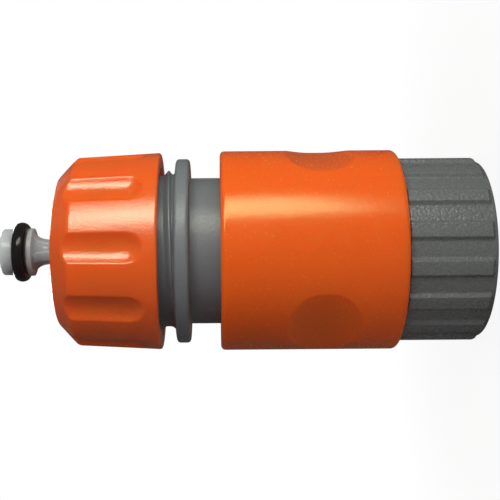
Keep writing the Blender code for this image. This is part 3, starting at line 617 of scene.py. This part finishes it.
lockRing = {
    "clawCount": 4,
    "slotWidth": 6.0,
    "hookRadius": 8.1,
    "clawRadius": 9.5,
    "padRadius": 12.6,
    "stalkRadius": 10.4,
    "baseHole": 8.5,
    "baseRadius": 11.0,
    "hookTop": 19.7,
    "padTop": 22.7,
    "nose": 1.0,
    "baseFoot": 25.4,
}


def slotCutters(name, count, start, reach, width, low, high):
    work = bmesh.new()
    bmesh.ops.create_cube(work, size=1)
    size = ((reach - start) * mm, width * mm, (high - low) * mm)
    middle = ((reach + start) / 2 * mm, 0, (high + low) / 2 * mm)
    bmesh.ops.scale(work, verts=work.verts, vec=size)
    bmesh.ops.translate(work, verts=work.verts, vec=middle)
    bmesh.ops.spin(
        work,
        geom=work.verts[:] + work.edges[:] + work.faces[:],
        cent=(0, 0, 0),
        axis=(0, 0, 1),
        angle=math.tau * (count - 1) / count,
        steps=count - 1,
        use_duplicate=True,
    )
    mesh = bpy.data.meshes.new(name)
    work.to_mesh(mesh)
    work.free()
    return newObject(name, mesh)


def buildLockRing(r):
    foot, top, _ = nodeSpan("lock_ring")
    nose = r["nose"]
    corners = [
        (r["baseRadius"], top, softEdge),
        (r["baseHole"], top, softEdge),
        (r["baseHole"], r["baseFoot"], 0),
        (r["clawRadius"], r["padTop"] + nose, easedEdge),
        (r["clawRadius"], r["hookTop"], softEdge),
        (r["hookRadius"], r["hookTop"], fineEdge),
        (r["hookRadius"], foot + nose, plainEdge),
        (r["hookRadius"] + nose, foot, plainEdge),
        (r["padRadius"] - nose, foot, easedEdge),
        (r["padRadius"], foot + nose, easedEdge),
        (r["padRadius"], r["padTop"], plainEdge),
        (r["stalkRadius"], r["padTop"] + nose, fullEdge),
        (r["stalkRadius"], r["baseFoot"], softEdge),
        (r["baseRadius"], r["baseFoot"], fineEdge),
    ]
    outline = spaced(softened(corners, arcSteps=4))
    ring = newPiece("detailed_lock_ring", [lathe(outline, evenAngles(plainColumns))])
    slots = slotCutters(
        "claw slots",
        r["clawCount"],
        r["slotWidth"] / 2 + cutMargin,
        r["padRadius"] + cutMargin,
        r["slotWidth"],
        foot - cutMargin,
        r["baseFoot"] + cutMargin,
    )
    return combined(ring, [slots], "DIFFERENCE")


dress(buildLockRing(lockRing), lockRingPlastic, "lock_ring", "lock_ring")


# connector body: socket and shell, flange, threaded collar and barbed hose stem

bodyFoot, stemTip, flangeRadius = nodeSpan("connector_body")
body = {
    "columns": 1152,
    "beadRadius": 10.7,
    "beadLand": 0.4,
    "beadFlare": 0.3,
    "shellBore": 11.3,
    "shellRadius": 12.5,
    "beadTop": 25.1,
    "stopRibRadius": 15.0,
    "stopRibFoot": 42.0,
    "stopRibTop": 43.7,
    "barrelRadius": 13.2,
    "partingAngles": (-142, 38),
    "partingRise": 0.05,
    "partingHalfWidth": 0.13,
    "partingReach": 0.95,
    "flangeFoot": 51.5,
    "flangeTop": 53.95,
    "flangeRound": 0.6,
    "flangeFillet": 1.3,
    "rootRadius": 13.7,
    "collarTop": 65.55,
    "collarEdge": 0.5,
    "collarBore": 10.2,
    "webTop": 48.5,
    "webFoot": 44.0,
    "pocketRoof": 43.0,
    "stemRadius": 6.3,
    "tipEdge": 0.3,
    "stemBore": 4.6,
    "seatRadius": 5.5,
    "seatDepth": 1.6,
    "barbCount": 3,
    "barbRise": 0.5,
    "barbPitch": 3.6,
    "barbShare": 0.7,  # of the pitch
    "barbBelowTip": 2.2,
    "socketRadius": 8.4,
    "socketOuter": 9.9,
    "socketFoot": 28.8,
    "socketLeadIn": 0.5,
}
hoseThread = {
    "pitch": 3.0,
    "depth": 0.9,
    "halfBase": 0.95,
    "halfCrest": 0.1,
    "hollow": 1.25,
    "crestHeight": body["flangeTop"] + 1.4,
    "firstAngle": -150,
    "lastAngle": 1056,
    "fade": 40,
    "halfRows": (0.033, 0.055, 0.09, 0.14, 0.19, 0.24, 0.28, 0.32, 0.37, 0.43),
}


def barbCorners(b):
    corners = []
    for barb in reversed(range(b["barbCount"])):
        top = stemTip - b["barbBelowTip"] - b["barbPitch"] * barb
        foot = top - b["barbPitch"] * b["barbShare"]
        corners.append((b["stemRadius"], foot, crispEdge))
        corners.append((b["stemRadius"] + b["barbRise"], foot, barbEdge))
        corners.append((b["stemRadius"], top, easedEdge))
    return corners


def buildConnectorBody(b):
    angles = closeAngles(b["columns"], b["partingAngles"], b["partingReach"])
    fillet = b["flangeFillet"]
    threadTop = b["collarTop"] - b["collarEdge"]

    def collarRadius(turn, height):
        above = np.clip(fillet - (height - b["flangeTop"]), 0, fillet)
        foot = b["rootRadius"] + fillet - np.sqrt(fillet**2 - above**2)
        ridge = b["rootRadius"] + threadRise(hoseThread, turn, height)
        ends = (height <= b["flangeTop"]) | (height >= threadTop)
        return np.where(ends, foot, np.maximum(foot, ridge))

    # the mould's halves leave a faint line down two sides of the barrel
    def parted(radius, turn, height):
        middles = np.radians(b["partingAngles"])
        away = (turn[..., None] - middles + math.pi) % math.tau - math.pi
        aside = np.abs(away).min(axis=-1) * b["barrelRadius"] / b["partingHalfWidth"]
        onBarrel = (np.abs(radius - b["barrelRadius"]) < onSurface) & (height > b["stopRibTop"])
        return radius + b["partingRise"] * np.clip(1 - aside, 0, 1) * onBarrel

    corners = [
        (b["rootRadius"], threadTop, 0),
        (b["rootRadius"] - b["collarEdge"], b["collarTop"], fineEdge),
        (b["collarBore"], b["collarTop"], easedEdge),
        (b["collarBore"], b["webTop"], fullEdge),
        (b["stemRadius"], b["webTop"], fullEdge),
    ]
    corners += barbCorners(b)
    corners += [
        (b["stemRadius"], stemTip - b["tipEdge"], 0),
        (b["stemRadius"] - b["tipEdge"], stemTip, fineEdge),
        (b["seatRadius"], stemTip, crispEdge),
        (b["stemBore"], stemTip - b["seatDepth"], softEdge),
        (b["stemBore"], b["webFoot"], easedEdge),
        (b["socketRadius"], b["webFoot"], easedEdge),
        (b["socketRadius"], b["socketFoot"] + b["socketLeadIn"], softEdge),
        (b["socketRadius"] + b["socketLeadIn"], b["socketFoot"], crispEdge),
        (b["socketOuter"], b["socketFoot"], softEdge),
        (b["socketOuter"], b["pocketRoof"], softEdge),
        (b["shellBore"], b["pocketRoof"], softEdge),
        (b["shellBore"], b["beadTop"], crispEdge),
        (b["beadRadius"], b["beadTop"], crispEdge),
        (b["beadRadius"], b["beadTop"] - b["beadLand"], crispEdge),
        (b["beadRadius"] + b["beadFlare"], bodyFoot, crispEdge),
        (b["shellRadius"], bodyFoot, softEdge),
        (b["shellRadius"], b["stopRibFoot"], fineEdge),
        (b["stopRibRadius"], b["stopRibFoot"], fineEdge),
        (b["stopRibRadius"], b["stopRibTop"], softEdge),
        (b["barrelRadius"], b["stopRibTop"], softEdge),
        (b["barrelRadius"], b["flangeFoot"], plainEdge),
        (flangeRadius, b["flangeFoot"], b["flangeRound"]),
        (flangeRadius, b["flangeTop"], b["flangeRound"]),
        (b["rootRadius"] + fillet, b["flangeTop"], 0),
    ]
    outline = spaced(softened(corners), closed=False)
    grids = [
        lathe(outline, angles, parted, closed=False),
        helixBand(hoseThread, angles, b["flangeTop"], threadTop, collarRadius),
    ]
    return newPiece("detailed_connector_body", grids)


dress(buildConnectorBody(body), bodyPlastic, "connector_body", "connector_body")


# release sleeve: slides back to let the claws open, with three shallow finger dimples

sleeveFoot, sleeveTop, sleeveRadius = nodeSpan("release_sleeve")
sleeve = {
    "columns": 640,
    "edgeRound": 0.8,
    "lipRadius": 13.5,
    "lipFoot": 44.0,
    "chamberRadius": 15.3,
    "landRadius": 12.9,
    "landFoot": 19.5,
    "landTop": 23.0,
    "mouthRadius": 15.0,
    "dimpleAngles": (-18, 102, 222),
    "dimpleHeight": 28.5,
    "dimpleHalfLength": 6.3,
    "dimpleHalfWidth": 7.5,
    "dimpleDepth": 1.2,
    "dimpleEdge": 0.08,
    "dimpleMargin": 0.6,
    "dimpleSpareTurn": 2,
}


def buildReleaseSleeve(s):
    def dimpled(radius, turn, height):
        outside = radius > sleeveRadius - s["edgeRound"]
        for middle in s["dimpleAngles"]:
            aside = (turn - math.radians(middle) + math.pi) % math.tau - math.pi
            across = aside * sleeveRadius / s["dimpleHalfWidth"]
            along = np.abs(height - s["dimpleHeight"]) / s["dimpleHalfLength"]
            dish = sleeveRadius - s["dimpleDepth"] * (1 - across**2 - along**2.5)
            radius = np.where(outside, softSmaller(radius, dish, s["dimpleEdge"]), radius)
        return radius

    dimpleReach = s["dimpleHalfLength"] + s["dimpleMargin"]
    corners = [
        (sleeveRadius, sleeveFoot, s["edgeRound"]),
        (sleeveRadius, s["dimpleHeight"] - dimpleReach, 0),
        (sleeveRadius, s["dimpleHeight"] + dimpleReach, 0),
        (sleeveRadius, sleeveTop, s["edgeRound"]),
        (s["lipRadius"], sleeveTop, softEdge),
        (s["lipRadius"], s["lipFoot"], fineEdge),
        (s["chamberRadius"], s["lipFoot"], softEdge),
        (s["chamberRadius"], s["landTop"], softEdge),
        (s["landRadius"], s["landTop"], softEdge),
        (s["landRadius"], s["landFoot"], easedEdge),
        (s["mouthRadius"], s["landFoot"], softEdge),
        (s["mouthRadius"], sleeveFoot, plainEdge),
    ]

    def besideDimple(point):
        onSide = point[0] > sleeveRadius - onSurface
        return onSide and abs(point[1] - s["dimpleHeight"]) < dimpleReach + onSurface

    outline = spaced(softened(corners), fineStep=0.18, isFine=besideDimple)
    dimpleTurn = math.degrees(s["dimpleHalfWidth"] / sleeveRadius) + s["dimpleSpareTurn"]
    angles = closeAngles(s["columns"], s["dimpleAngles"], dimpleTurn)
    return newPiece("detailed_release_sleeve", [lathe(outline, angles, dimpled)])


dress(
    buildReleaseSleeve(sleeve),
    sleevePlastic,
    "release_sleeve",
    "release_sleeve",
)


# sleeve spring: closed end turns, open turns between

spring = {
    "wireRadius": 0.6,
    "turns": 6,
    "endPitch": 1.5,
    "steps": 48,
    "aroundSteps": 12,
}


def buildSleeveSpring(s):
    foot, top, reach = nodeSpan("sleeve_spring")
    wire = s["wireRadius"]
    coil = reach - wire
    free = top - foot - 2 * wire - 2 * s["endPitch"]
    pitch = free / (s["turns"] - 2)
    verts, faces = [], []
    count = s["turns"] * s["steps"] + 1
    for spot in range(count):
        turns = spot / s["steps"]
        closedTurns = min(turns, 1) + max(0, turns - (s["turns"] - 1))
        height = foot + wire + s["endPitch"] * closedTurns + pitch * (turns - closedTurns)
        angle = math.tau * turns
        for around in evenAngles(s["aroundSteps"]):
            radius = coil + wire * math.cos(around)
            lift = height + wire * math.sin(around)
            verts.append((radius * math.cos(angle), radius * math.sin(angle), lift))
    ring = s["aroundSteps"]
    for spot in range(count - 1):
        for side in range(ring):
            beside = (side + 1) % ring
            low, high = spot * ring, (spot + 1) * ring
            faces.append((low + side, low + beside, high + beside, high + side))
    mesh = bpy.data.meshes.new("detailed_sleeve_spring")
    ends = [tuple(range(ring)), tuple(range((count - 1) * ring, count * ring))]
    mesh.from_pydata([tuple(value * mm for value in vert) for vert in verts], [], faces + ends)
    work = bmesh.new()
    work.from_mesh(mesh)
    bmesh.ops.recalc_face_normals(work, faces=work.faces)
    work.to_mesh(mesh)
    work.free()
    return newObject("detailed_sleeve_spring", mesh)


coil = dress(
    buildSleeveSpring(spring), springSteel, "connector_body", "sleeve_spring"
)
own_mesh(coil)


# valve plunger: finned stem, flare, collar and a head with its seal

plungerFoot, plungerTop, _ = nodeSpan("valve_plunger")
plunger = {
    "coreRadius": 1.55,
    "coreSetIn": 0.4,
    "footRadius": 6.2,
    "footTop": 43.7,
    "guideRadius": 4.3,
    "guideTop": 65.2,
    "guideTaper": 2.6,
    "neckRadius": 2.0,
    "neckBlend": 1.2,
    "finThickness": 1.9,
    "finAngles": (68, 158),
    "finRound": 0.16,
    "finRise": 0.13,
    "finShortSteps": 4,
    "finEdgeAngle": 40,
    "flareHeight": 2.6,
    "flareSteps": 14,
    "flareLip": 0.2,
    "collarRadius": 4.33,
    "collarFoot": 79.9,
    "collarTop": 80.8,
    "grooveRadius": 3.1,
    "grooveTop": 83.4,
    "headRadius": 4.18,
    "headRound": 0.45,
}


# concave curve that widens the neck up to the collar
def flarePoints(p, rise=0.0):
    reach = p["collarRadius"] - p["flareLip"] - p["neckRadius"]
    turns = np.linspace(0, math.pi / 2, p["flareSteps"] + 1)
    radii = p["neckRadius"] + rise + reach * (1 - np.cos(turns))
    heights = p["collarFoot"] + p["flareHeight"] * (np.sin(turns) - 1)
    return list(zip(radii.tolist(), heights.tolist()))


def buildFin(p, angle):
    inset = p["neckRadius"]
    side = [
        (p["footRadius"], plungerFoot),
        (p["footRadius"], p["footTop"]),
        (p["guideRadius"], p["footTop"]),
        (p["guideRadius"], p["guideTop"]),
        (inset + p["finRise"], p["guideTop"] + p["guideTaper"]),
    ]
    side += flarePoints(p, p["finRise"])[: -p["finShortSteps"]]
    outline = side + [(-radius, height) for radius, height in reversed(side)]
    work = bmesh.new()
    half = p["finThickness"] / 2
    points = [work.verts.new((x * mm, -half * mm, z * mm)) for x, z in outline]
    face = work.faces.new(points)
    grown = bmesh.ops.extrude_face_region(work, geom=[face])
    moved = [item for item in grown["geom"] if isinstance(item, bmesh.types.BMVert)]
    bmesh.ops.translate(work, verts=moved, vec=(0, 2 * half * mm, 0))
    bmesh.ops.recalc_face_normals(work, faces=work.faces)
    sharp = math.radians(p["finEdgeAngle"])
    bmesh.ops.bevel(
        work,
        geom=[edge for edge in work.edges if edge.calc_face_angle() > sharp],
        offset=p["finRound"] * mm,
        segments=3,
        profile=0.5,
        affect="EDGES",
    )
    spin = Matrix.Rotation(math.radians(angle), 3, "Z")
    bmesh.ops.rotate(work, verts=work.verts, cent=(0, 0, 0), matrix=spin)
    mesh = bpy.data.meshes.new("fin")
    work.to_mesh(mesh)
    work.free()
    return newObject("fin", mesh)


def buildValvePlunger(p):
    flare = flarePoints(p)
    coreFoot = plungerFoot + p["coreSetIn"]
    corners = [
        (0, coreFoot, 0),
        (p["coreRadius"], coreFoot, softEdge),
        (p["coreRadius"], flare[0][1] - p["neckBlend"], 0),
    ]
    corners += [(radius, height, 0) for radius, height in flare]
    corners += [
        (p["collarRadius"], p["collarFoot"], grooveEdge),
        (p["collarRadius"], p["collarTop"], fineEdge),
        (p["grooveRadius"], p["collarTop"], softEdge),
        (p["grooveRadius"], p["grooveTop"], softEdge),
        (p["headRadius"], p["grooveTop"], grooveEdge),
        (p["headRadius"], plungerTop, p["headRound"]),
        (0, plungerTop, 0),
    ]
    outline = spaced(softened(corners), closed=False)
    turned = lathe(outline, evenAngles(plainColumns), closed=False)
    stem = newPiece("detailed_valve_plunger", [turned])
    fins = [buildFin(p, angle) for angle in p["finAngles"]]
    return combined(stem, fins, "UNION")


dress(
    buildValvePlunger(plunger),
    plungerPlastic,
    "valve_plunger",
    "valve_plunger",
)


# hose nut: ten scooped grips outside, thread and clamping cone inside

nutFoot, nutTop, nutRadius = nodeSpan("hose_nut")
nut = {
    "columns": 1440,
    "frontRadius": 17.0,
    "backEdge": 0.4,
    "chamferDrop": 3.4,
    "chamferRound": 1.2,
    "faceRadius": 13.4,
    "mouthRadius": 9.8,
    "coneTopRadius": 10.9,
    "lipThickness": 1.6,
    "boreRadius": 14.9,
    "boreDepth": 10.9,
    "threadStart": 0.6,
    "threadStop": 0.2,
    "scoopCount": 10,
    "firstScoop": -88,
    "scoopWidth": 5.7,
    "scoopDepth": 1.2,
    "scoopMargin": 2.4,
    "scoopEdge": 0.22,
    "scoopEdgeReach": 1.1,
    "runOutMargin": 0.4,
}
nutThread = {
    "pitch": hoseThread["pitch"],
    "depth": 0.75,
    "halfBase": 0.85,
    "halfCrest": 0.15,
    "hollow": 1.0,
    "crestHeight": hoseThread["crestHeight"] + hoseThread["pitch"] / 2,
    "firstAngle": 330,
    "lastAngle": 1240,
    "fade": 60,
    "halfRows": (0.05, 0.14, 0.22, 0.28, 0.34, 0.4),
}


def buildHoseNut(n):
    half = n["scoopWidth"] / 2
    ball = (half**2 + n["scoopDepth"] ** 2) / (2 * n["scoopDepth"])
    slope = (nutRadius - n["frontRadius"]) / (nutTop - nutFoot)
    start = nutFoot + n["scoopMargin"] + half
    axisReach = nutRadius - slope * (start - nutFoot) - n["scoopDepth"] + ball

    # a scoop is a ball-ended mill's path that runs out through the front
    def scooped(radius, turn, height):
        period = math.tau / n["scoopCount"]
        aside = (turn - math.radians(n["firstScoop"]) + period / 2) % period - period / 2
        reach = axisReach - slope * (height - start)
        width = ball**2 - np.clip(start - height, 0, None) ** 2
        inside = width - (reach * np.sin(aside)) ** 2
        floor = reach * np.cos(aside) - np.sqrt(np.clip(inside, 0, None))
        floor = np.where(inside > 0, floor, radius + 1)
        cut = radius > n["boreRadius"] + n["backEdge"]
        return np.where(cut, softSmaller(radius, floor, n["scoopEdge"]), radius)

    def threaded(turn, height):
        return n["boreRadius"] - threadRise(nutThread, turn, height)

    chamferFoot = nutTop - n["chamferDrop"]
    # how far in on the chamfer the scoops reach
    runOut = n["scoopDepth"] + n["runOutMargin"]
    runOutRise = runOut * n["chamferDrop"] / (n["frontRadius"] - n["faceRadius"])
    coneFoot = nutFoot + n["boreDepth"]
    lipFoot = nutTop - n["lipThickness"]
    threadLow, threadHigh = nutFoot + n["threadStart"], coneFoot - n["threadStop"]
    corners = [
        (n["boreRadius"], threadLow, 0),
        (n["boreRadius"] + n["backEdge"], nutFoot, fineEdge),
        (nutRadius, nutFoot, n["backEdge"]),
        (n["frontRadius"], chamferFoot, n["chamferRound"]),
        (n["frontRadius"] - runOut, chamferFoot + runOutRise, 0),
        (n["faceRadius"], nutTop, n["chamferRound"]),
        (n["mouthRadius"], nutTop, fullEdge),
        (n["mouthRadius"], lipFoot, fineEdge),
        (n["coneTopRadius"], lipFoot, fineEdge),
        (n["boreRadius"], coneFoot, easedEdge),
        (n["boreRadius"], threadHigh, 0),
    ]

    def besideScoop(point):
        return point[0] > n["frontRadius"] - runOut - onSurface

    outline = spaced(softened(corners), fineStep=0.28, isFine=besideScoop, closed=False)
    scoopTurn = math.degrees(half / nutRadius)
    edges = [
        n["firstScoop"] + 360 * scoop / n["scoopCount"] + side * scoopTurn
        for scoop in range(n["scoopCount"])
        for side in (-1, 1)
    ]
    angles = closeAngles(n["columns"], edges, n["scoopEdgeReach"])
    grids = [
        lathe(outline, angles, scooped, closed=False),
        helixBand(nutThread, angles, threadLow, threadHigh, threaded),
    ]
    return newPiece("detailed_hose_nut", grids)


dress(buildHoseNut(nut), nutPlastic, "hose_nut", "hose_nut")


# hose collet: slotted ring whose teeth the nut's cone closes on the hose

collet = {
    "boreRadius": 11.4,
    "toothRadius": 9.7,
    "toothDepth": 0.3,
    "toothPitch": 0.9,
    "baseHeight": 1.1,
    "slotCount": 8,
    "slotWidth": 1.2,
    "sideGap": 0.3,
}


def coneRadius(height):  # inside of the nut's cone
    low, high = nutFoot + nut["boreDepth"], nutTop - nut["lipThickness"]
    share = (height - low) / (high - low)
    return nut["boreRadius"] + (nut["coneTopRadius"] - nut["boreRadius"]) * share


def buildHoseCollet(c):
    foot, top, _ = nodeSpan("hose_collet")
    coneHeight = nutTop - nut["lipThickness"] - nutFoot - nut["boreDepth"]
    slope = math.atan2(nut["boreRadius"] - nut["coneTopRadius"], coneHeight)
    side = c["sideGap"] / math.cos(slope)
    tooth, pitch = c["toothRadius"], c["toothPitch"]
    corners = [
        (c["boreRadius"], foot, fineEdge),
        (coneRadius(foot) - side, foot, fineEdge),
        (coneRadius(top) - side, top, fineEdge),
        (tooth, top, barbEdge),
        (tooth + c["toothDepth"], top - pitch / 2, toothEdge),
        (tooth, top - pitch, toothEdge),
        (tooth + c["toothDepth"], top - pitch * 1.5, toothEdge),
        (tooth, top - pitch * 2, toothEdge),
        (c["boreRadius"], foot + c["baseHeight"], crispEdge),
    ]
    outline = spaced(softened(corners, arcSteps=3))
    ring = newPiece("detailed_hose_collet", [lathe(outline, evenAngles(plainColumns))])
    slots = slotCutters(
        "collet slots",
        c["slotCount"],
        tooth - cutMargin,
        nut["boreRadius"],
        c["slotWidth"],
        foot + c["baseHeight"],
        top + cutMargin,
    )
    return combined(ring, [slots], "DIFFERENCE")


dress(buildHoseCollet(collet), colletPlastic, "hose_collet", "hose_collet")
print("pieces made")


# floor, lights and camera

floorLook = {
    "radius": 160,
    "drop": 0.02,
    "steps": 96,
    "color": (0.65, 0.65, 0.65),
    "nearShare": 0.91,
    "fadeFrom": 20,
    "fadeTo": 90,
}


def buildFloor(f):
    work = bmesh.new()
    bmesh.ops.create_circle(work, cap_ends=True, segments=f["steps"], radius=f["radius"] * mm)
    mesh = bpy.data.meshes.new("floor")
    work.to_mesh(mesh)
    work.free()
    floor = newObject("floor", mesh)
    floor.location.z = -f["drop"] * mm
    floor.visible_glossy = False  # its glare would grey the plastics' lower edges
    finish = bpy.data.materials.new("floor")
    finish.use_nodes = True
    tree = finish.node_tree
    shader = tree.nodes["Principled BSDF"]
    shader.inputs["Base Color"].default_value = (*f["color"], 1)
    shader.inputs["Roughness"].default_value = 0.9
    shader.inputs["Specular IOR Level"].default_value = 0.0
    white = tree.nodes.new("ShaderNodeEmission")
    # the shadow is full under the object and fades into the white background
    place = tree.nodes.new("ShaderNodeTexCoord")
    away = tree.nodes.new("ShaderNodeVectorMath")
    away.operation = "LENGTH"
    nodeLink(tree, place, "Object", away, 0)
    fade = tree.nodes.new("ShaderNodeMapRange")
    fade.interpolation_type = "SMOOTHSTEP"
    fade.inputs["From Min"].default_value = f["fadeFrom"] * mm
    fade.inputs["From Max"].default_value = f["fadeTo"] * mm
    fade.inputs["To Min"].default_value = f["nearShare"]
    fade.inputs["To Max"].default_value = 1
    nodeLink(tree, away, "Value", fade, "Value")
    seen = tree.nodes.new("ShaderNodeMath")
    seen.operation = "MULTIPLY"
    nodeLink(tree, seenDirectly(tree, worldLook["glossyShare"]), "Value", seen, 0)
    nodeLink(tree, fade, "Result", seen, 1)
    mix = tree.nodes.new("ShaderNodeMixShader")
    nodeLink(tree, seen, "Value", mix, "Fac")
    nodeLink(tree, shader, "BSDF", mix, 1)
    nodeLink(tree, white, "Emission", mix, 2)
    nodeLink(tree, mix, "Shader", tree.nodes["Material Output"], "Surface")
    mesh.materials.append(finish)


worldLook = {"ambient": (0.056, 0.046, 0.043), "glossyShare": 0.03}


# one to the camera and through glass, and a share of it in reflections, where a full white
# would wash out the plastics
def seenDirectly(tree, glossyShare):
    path = tree.nodes.new("ShaderNodeLightPath")
    glossy = tree.nodes.new("ShaderNodeMath")
    glossy.operation = "MULTIPLY"
    glossy.inputs[1].default_value = glossyShare
    nodeLink(tree, path, "Is Glossy Ray", glossy, 0)
    seen = glossy
    for ray in ("Is Camera Ray", "Is Transmission Ray"):
        either = tree.nodes.new("ShaderNodeMath")
        either.operation = "MAXIMUM"
        nodeLink(tree, seen, "Value", either, 0)
        nodeLink(tree, path, ray, either, 1)
        seen = either
    return seen


def buildWorld(w):
    world = bpy.data.worlds.new("studio")
    scene.world = world
    world.use_nodes = True
    tree = world.node_tree
    dim = tree.nodes["Background"]
    dim.inputs["Color"].default_value = (*w["ambient"], 1)
    white = tree.nodes.new("ShaderNodeBackground")
    white.inputs["Color"].default_value = (1, 1, 1, 1)
    seen = seenDirectly(tree, w["glossyShare"])
    mix = tree.nodes.new("ShaderNodeMixShader")
    nodeLink(tree, seen, "Value", mix, "Fac")
    nodeLink(tree, dim, "Background", mix, 1)
    nodeLink(tree, white, "Background", mix, 2)
    nodeLink(tree, mix, "Shader", tree.nodes["World Output"], "Surface")


# turn is measured from the photograph's side of the object, towards the top of the picture,
# and a light that leans has its upper end nearer that side
lights = {
    "key": {
        "turn": 42.5,
        "lean": 21,
        "distance": 165,
        "height": 72,
        "width": 58,
        "length": 140,
        "power": 0.157,
        "color": (0.97, 1.0, 0.85),
        "highlight": True,
    },
    "fill": {
        "turn": 15,
        "lean": 0,
        "distance": 260,
        "height": 115,
        "width": 160,
        "length": 160,
        "power": 0.268,
        "color": (1.0, 0.86, 0.85),
        "highlight": False,
    },
    "top": {
        "turn": 25,
        "lean": 0,
        "distance": 110,
        "height": 300,
        "aimHeight": 85,
        "width": 120,
        "length": 120,
        "power": 0.12,
        "color": (1.0, 0.95, 0.92),
        "highlight": False,
    },
    "side": {
        "turn": 97,
        "lean": 0,
        "distance": 260,
        "height": 60,
        "width": 160,
        "length": 160,
        "power": 0.115,
        "color": (0.92, 1.0, 0.98),
        "highlight": False,
    },
    "back": {
        "turn": 178,
        "lean": 0,
        "distance": 260,
        "height": 260,
        "aimHeight": 60,
        "width": 160,
        "length": 150,
        "power": 0.68,
        "color": (1.0, 1.0, 1.0),
        "highlight": True,
    },
}


def buildLight(name, light):
    turn = math.radians(light["turn"])
    place = Vector((math.sin(turn), -math.cos(turn), 0)) * light["distance"] * mm
    place.z = light["height"] * mm
    lamp = bpy.data.lights.new(name, "AREA")
    lamp.shape = "RECTANGLE"
    lamp.size = light["width"] * mm
    lamp.size_y = light["length"] * mm
    lamp.energy = light["power"]
    lamp.color = light["color"]
    holder = bpy.data.objects.new(name, lamp)
    scene.collection.objects.link(holder)
    holder.location = place
    aim = Vector((0, 0, light.get("aimHeight", light["height"]) * mm)) - place
    holder.rotation_mode = "QUATERNION"
    lean = Quaternion((0, 0, 1), math.radians(light["lean"]))
    holder.rotation_quaternion = aim.to_track_quat("-Z", "Y") @ lean
    holder.visible_camera = False
    holder.visible_glossy = light["highlight"]


# the photograph lies on its side: the picture's right is down the axis
photo = {
    "distance": 170.0,  # from the axis, in millimetres
    "height": 46.8,
    "aside": 0.12,
    "scale": 5.484,  # pixels for a millimetre at the axis
    "centreX": 216.5,  # pixel column that the camera looks straight at
    "imageSize": 500,
    "roll": 0.44,
    "sensorWidth": 36,
    "nearest": 10,
    "farthest": 10000,
}


def buildCamera(p):
    camera = bpy.data.cameras.new("photo camera")
    camera.sensor_width = p["sensorWidth"]
    camera.lens = p["scale"] * p["distance"] / p["imageSize"] * camera.sensor_width
    camera.shift_x = (p["imageSize"] / 2 - p["centreX"]) / p["imageSize"]
    camera.clip_start = p["nearest"] * mm
    camera.clip_end = p["farthest"] * mm
    holder = bpy.data.objects.new("photo camera", camera)
    scene.collection.objects.link(holder)
    right, up, back = Vector((0, 0, -1)), Vector((1, 0, 0)), Vector((0, -1, 0))
    frameTurn = Matrix((right, up, back)).transposed()
    roll = Matrix.Rotation(math.radians(-p["roll"]), 3, "Z")
    place = Vector((p["aside"], -p["distance"], p["height"])) * mm
    holder.matrix_world = Matrix.Translation(place) @ (frameTurn @ roll).to_4x4()
    scene.camera = holder


buildFloor(floorLook)
buildWorld(worldLook)
for lightName, light in lights.items():
    buildLight(lightName, light)
buildCamera(photo)
scene.view_settings.view_transform = "Standard"
print("stage made")

bpy.context.view_layer.update()
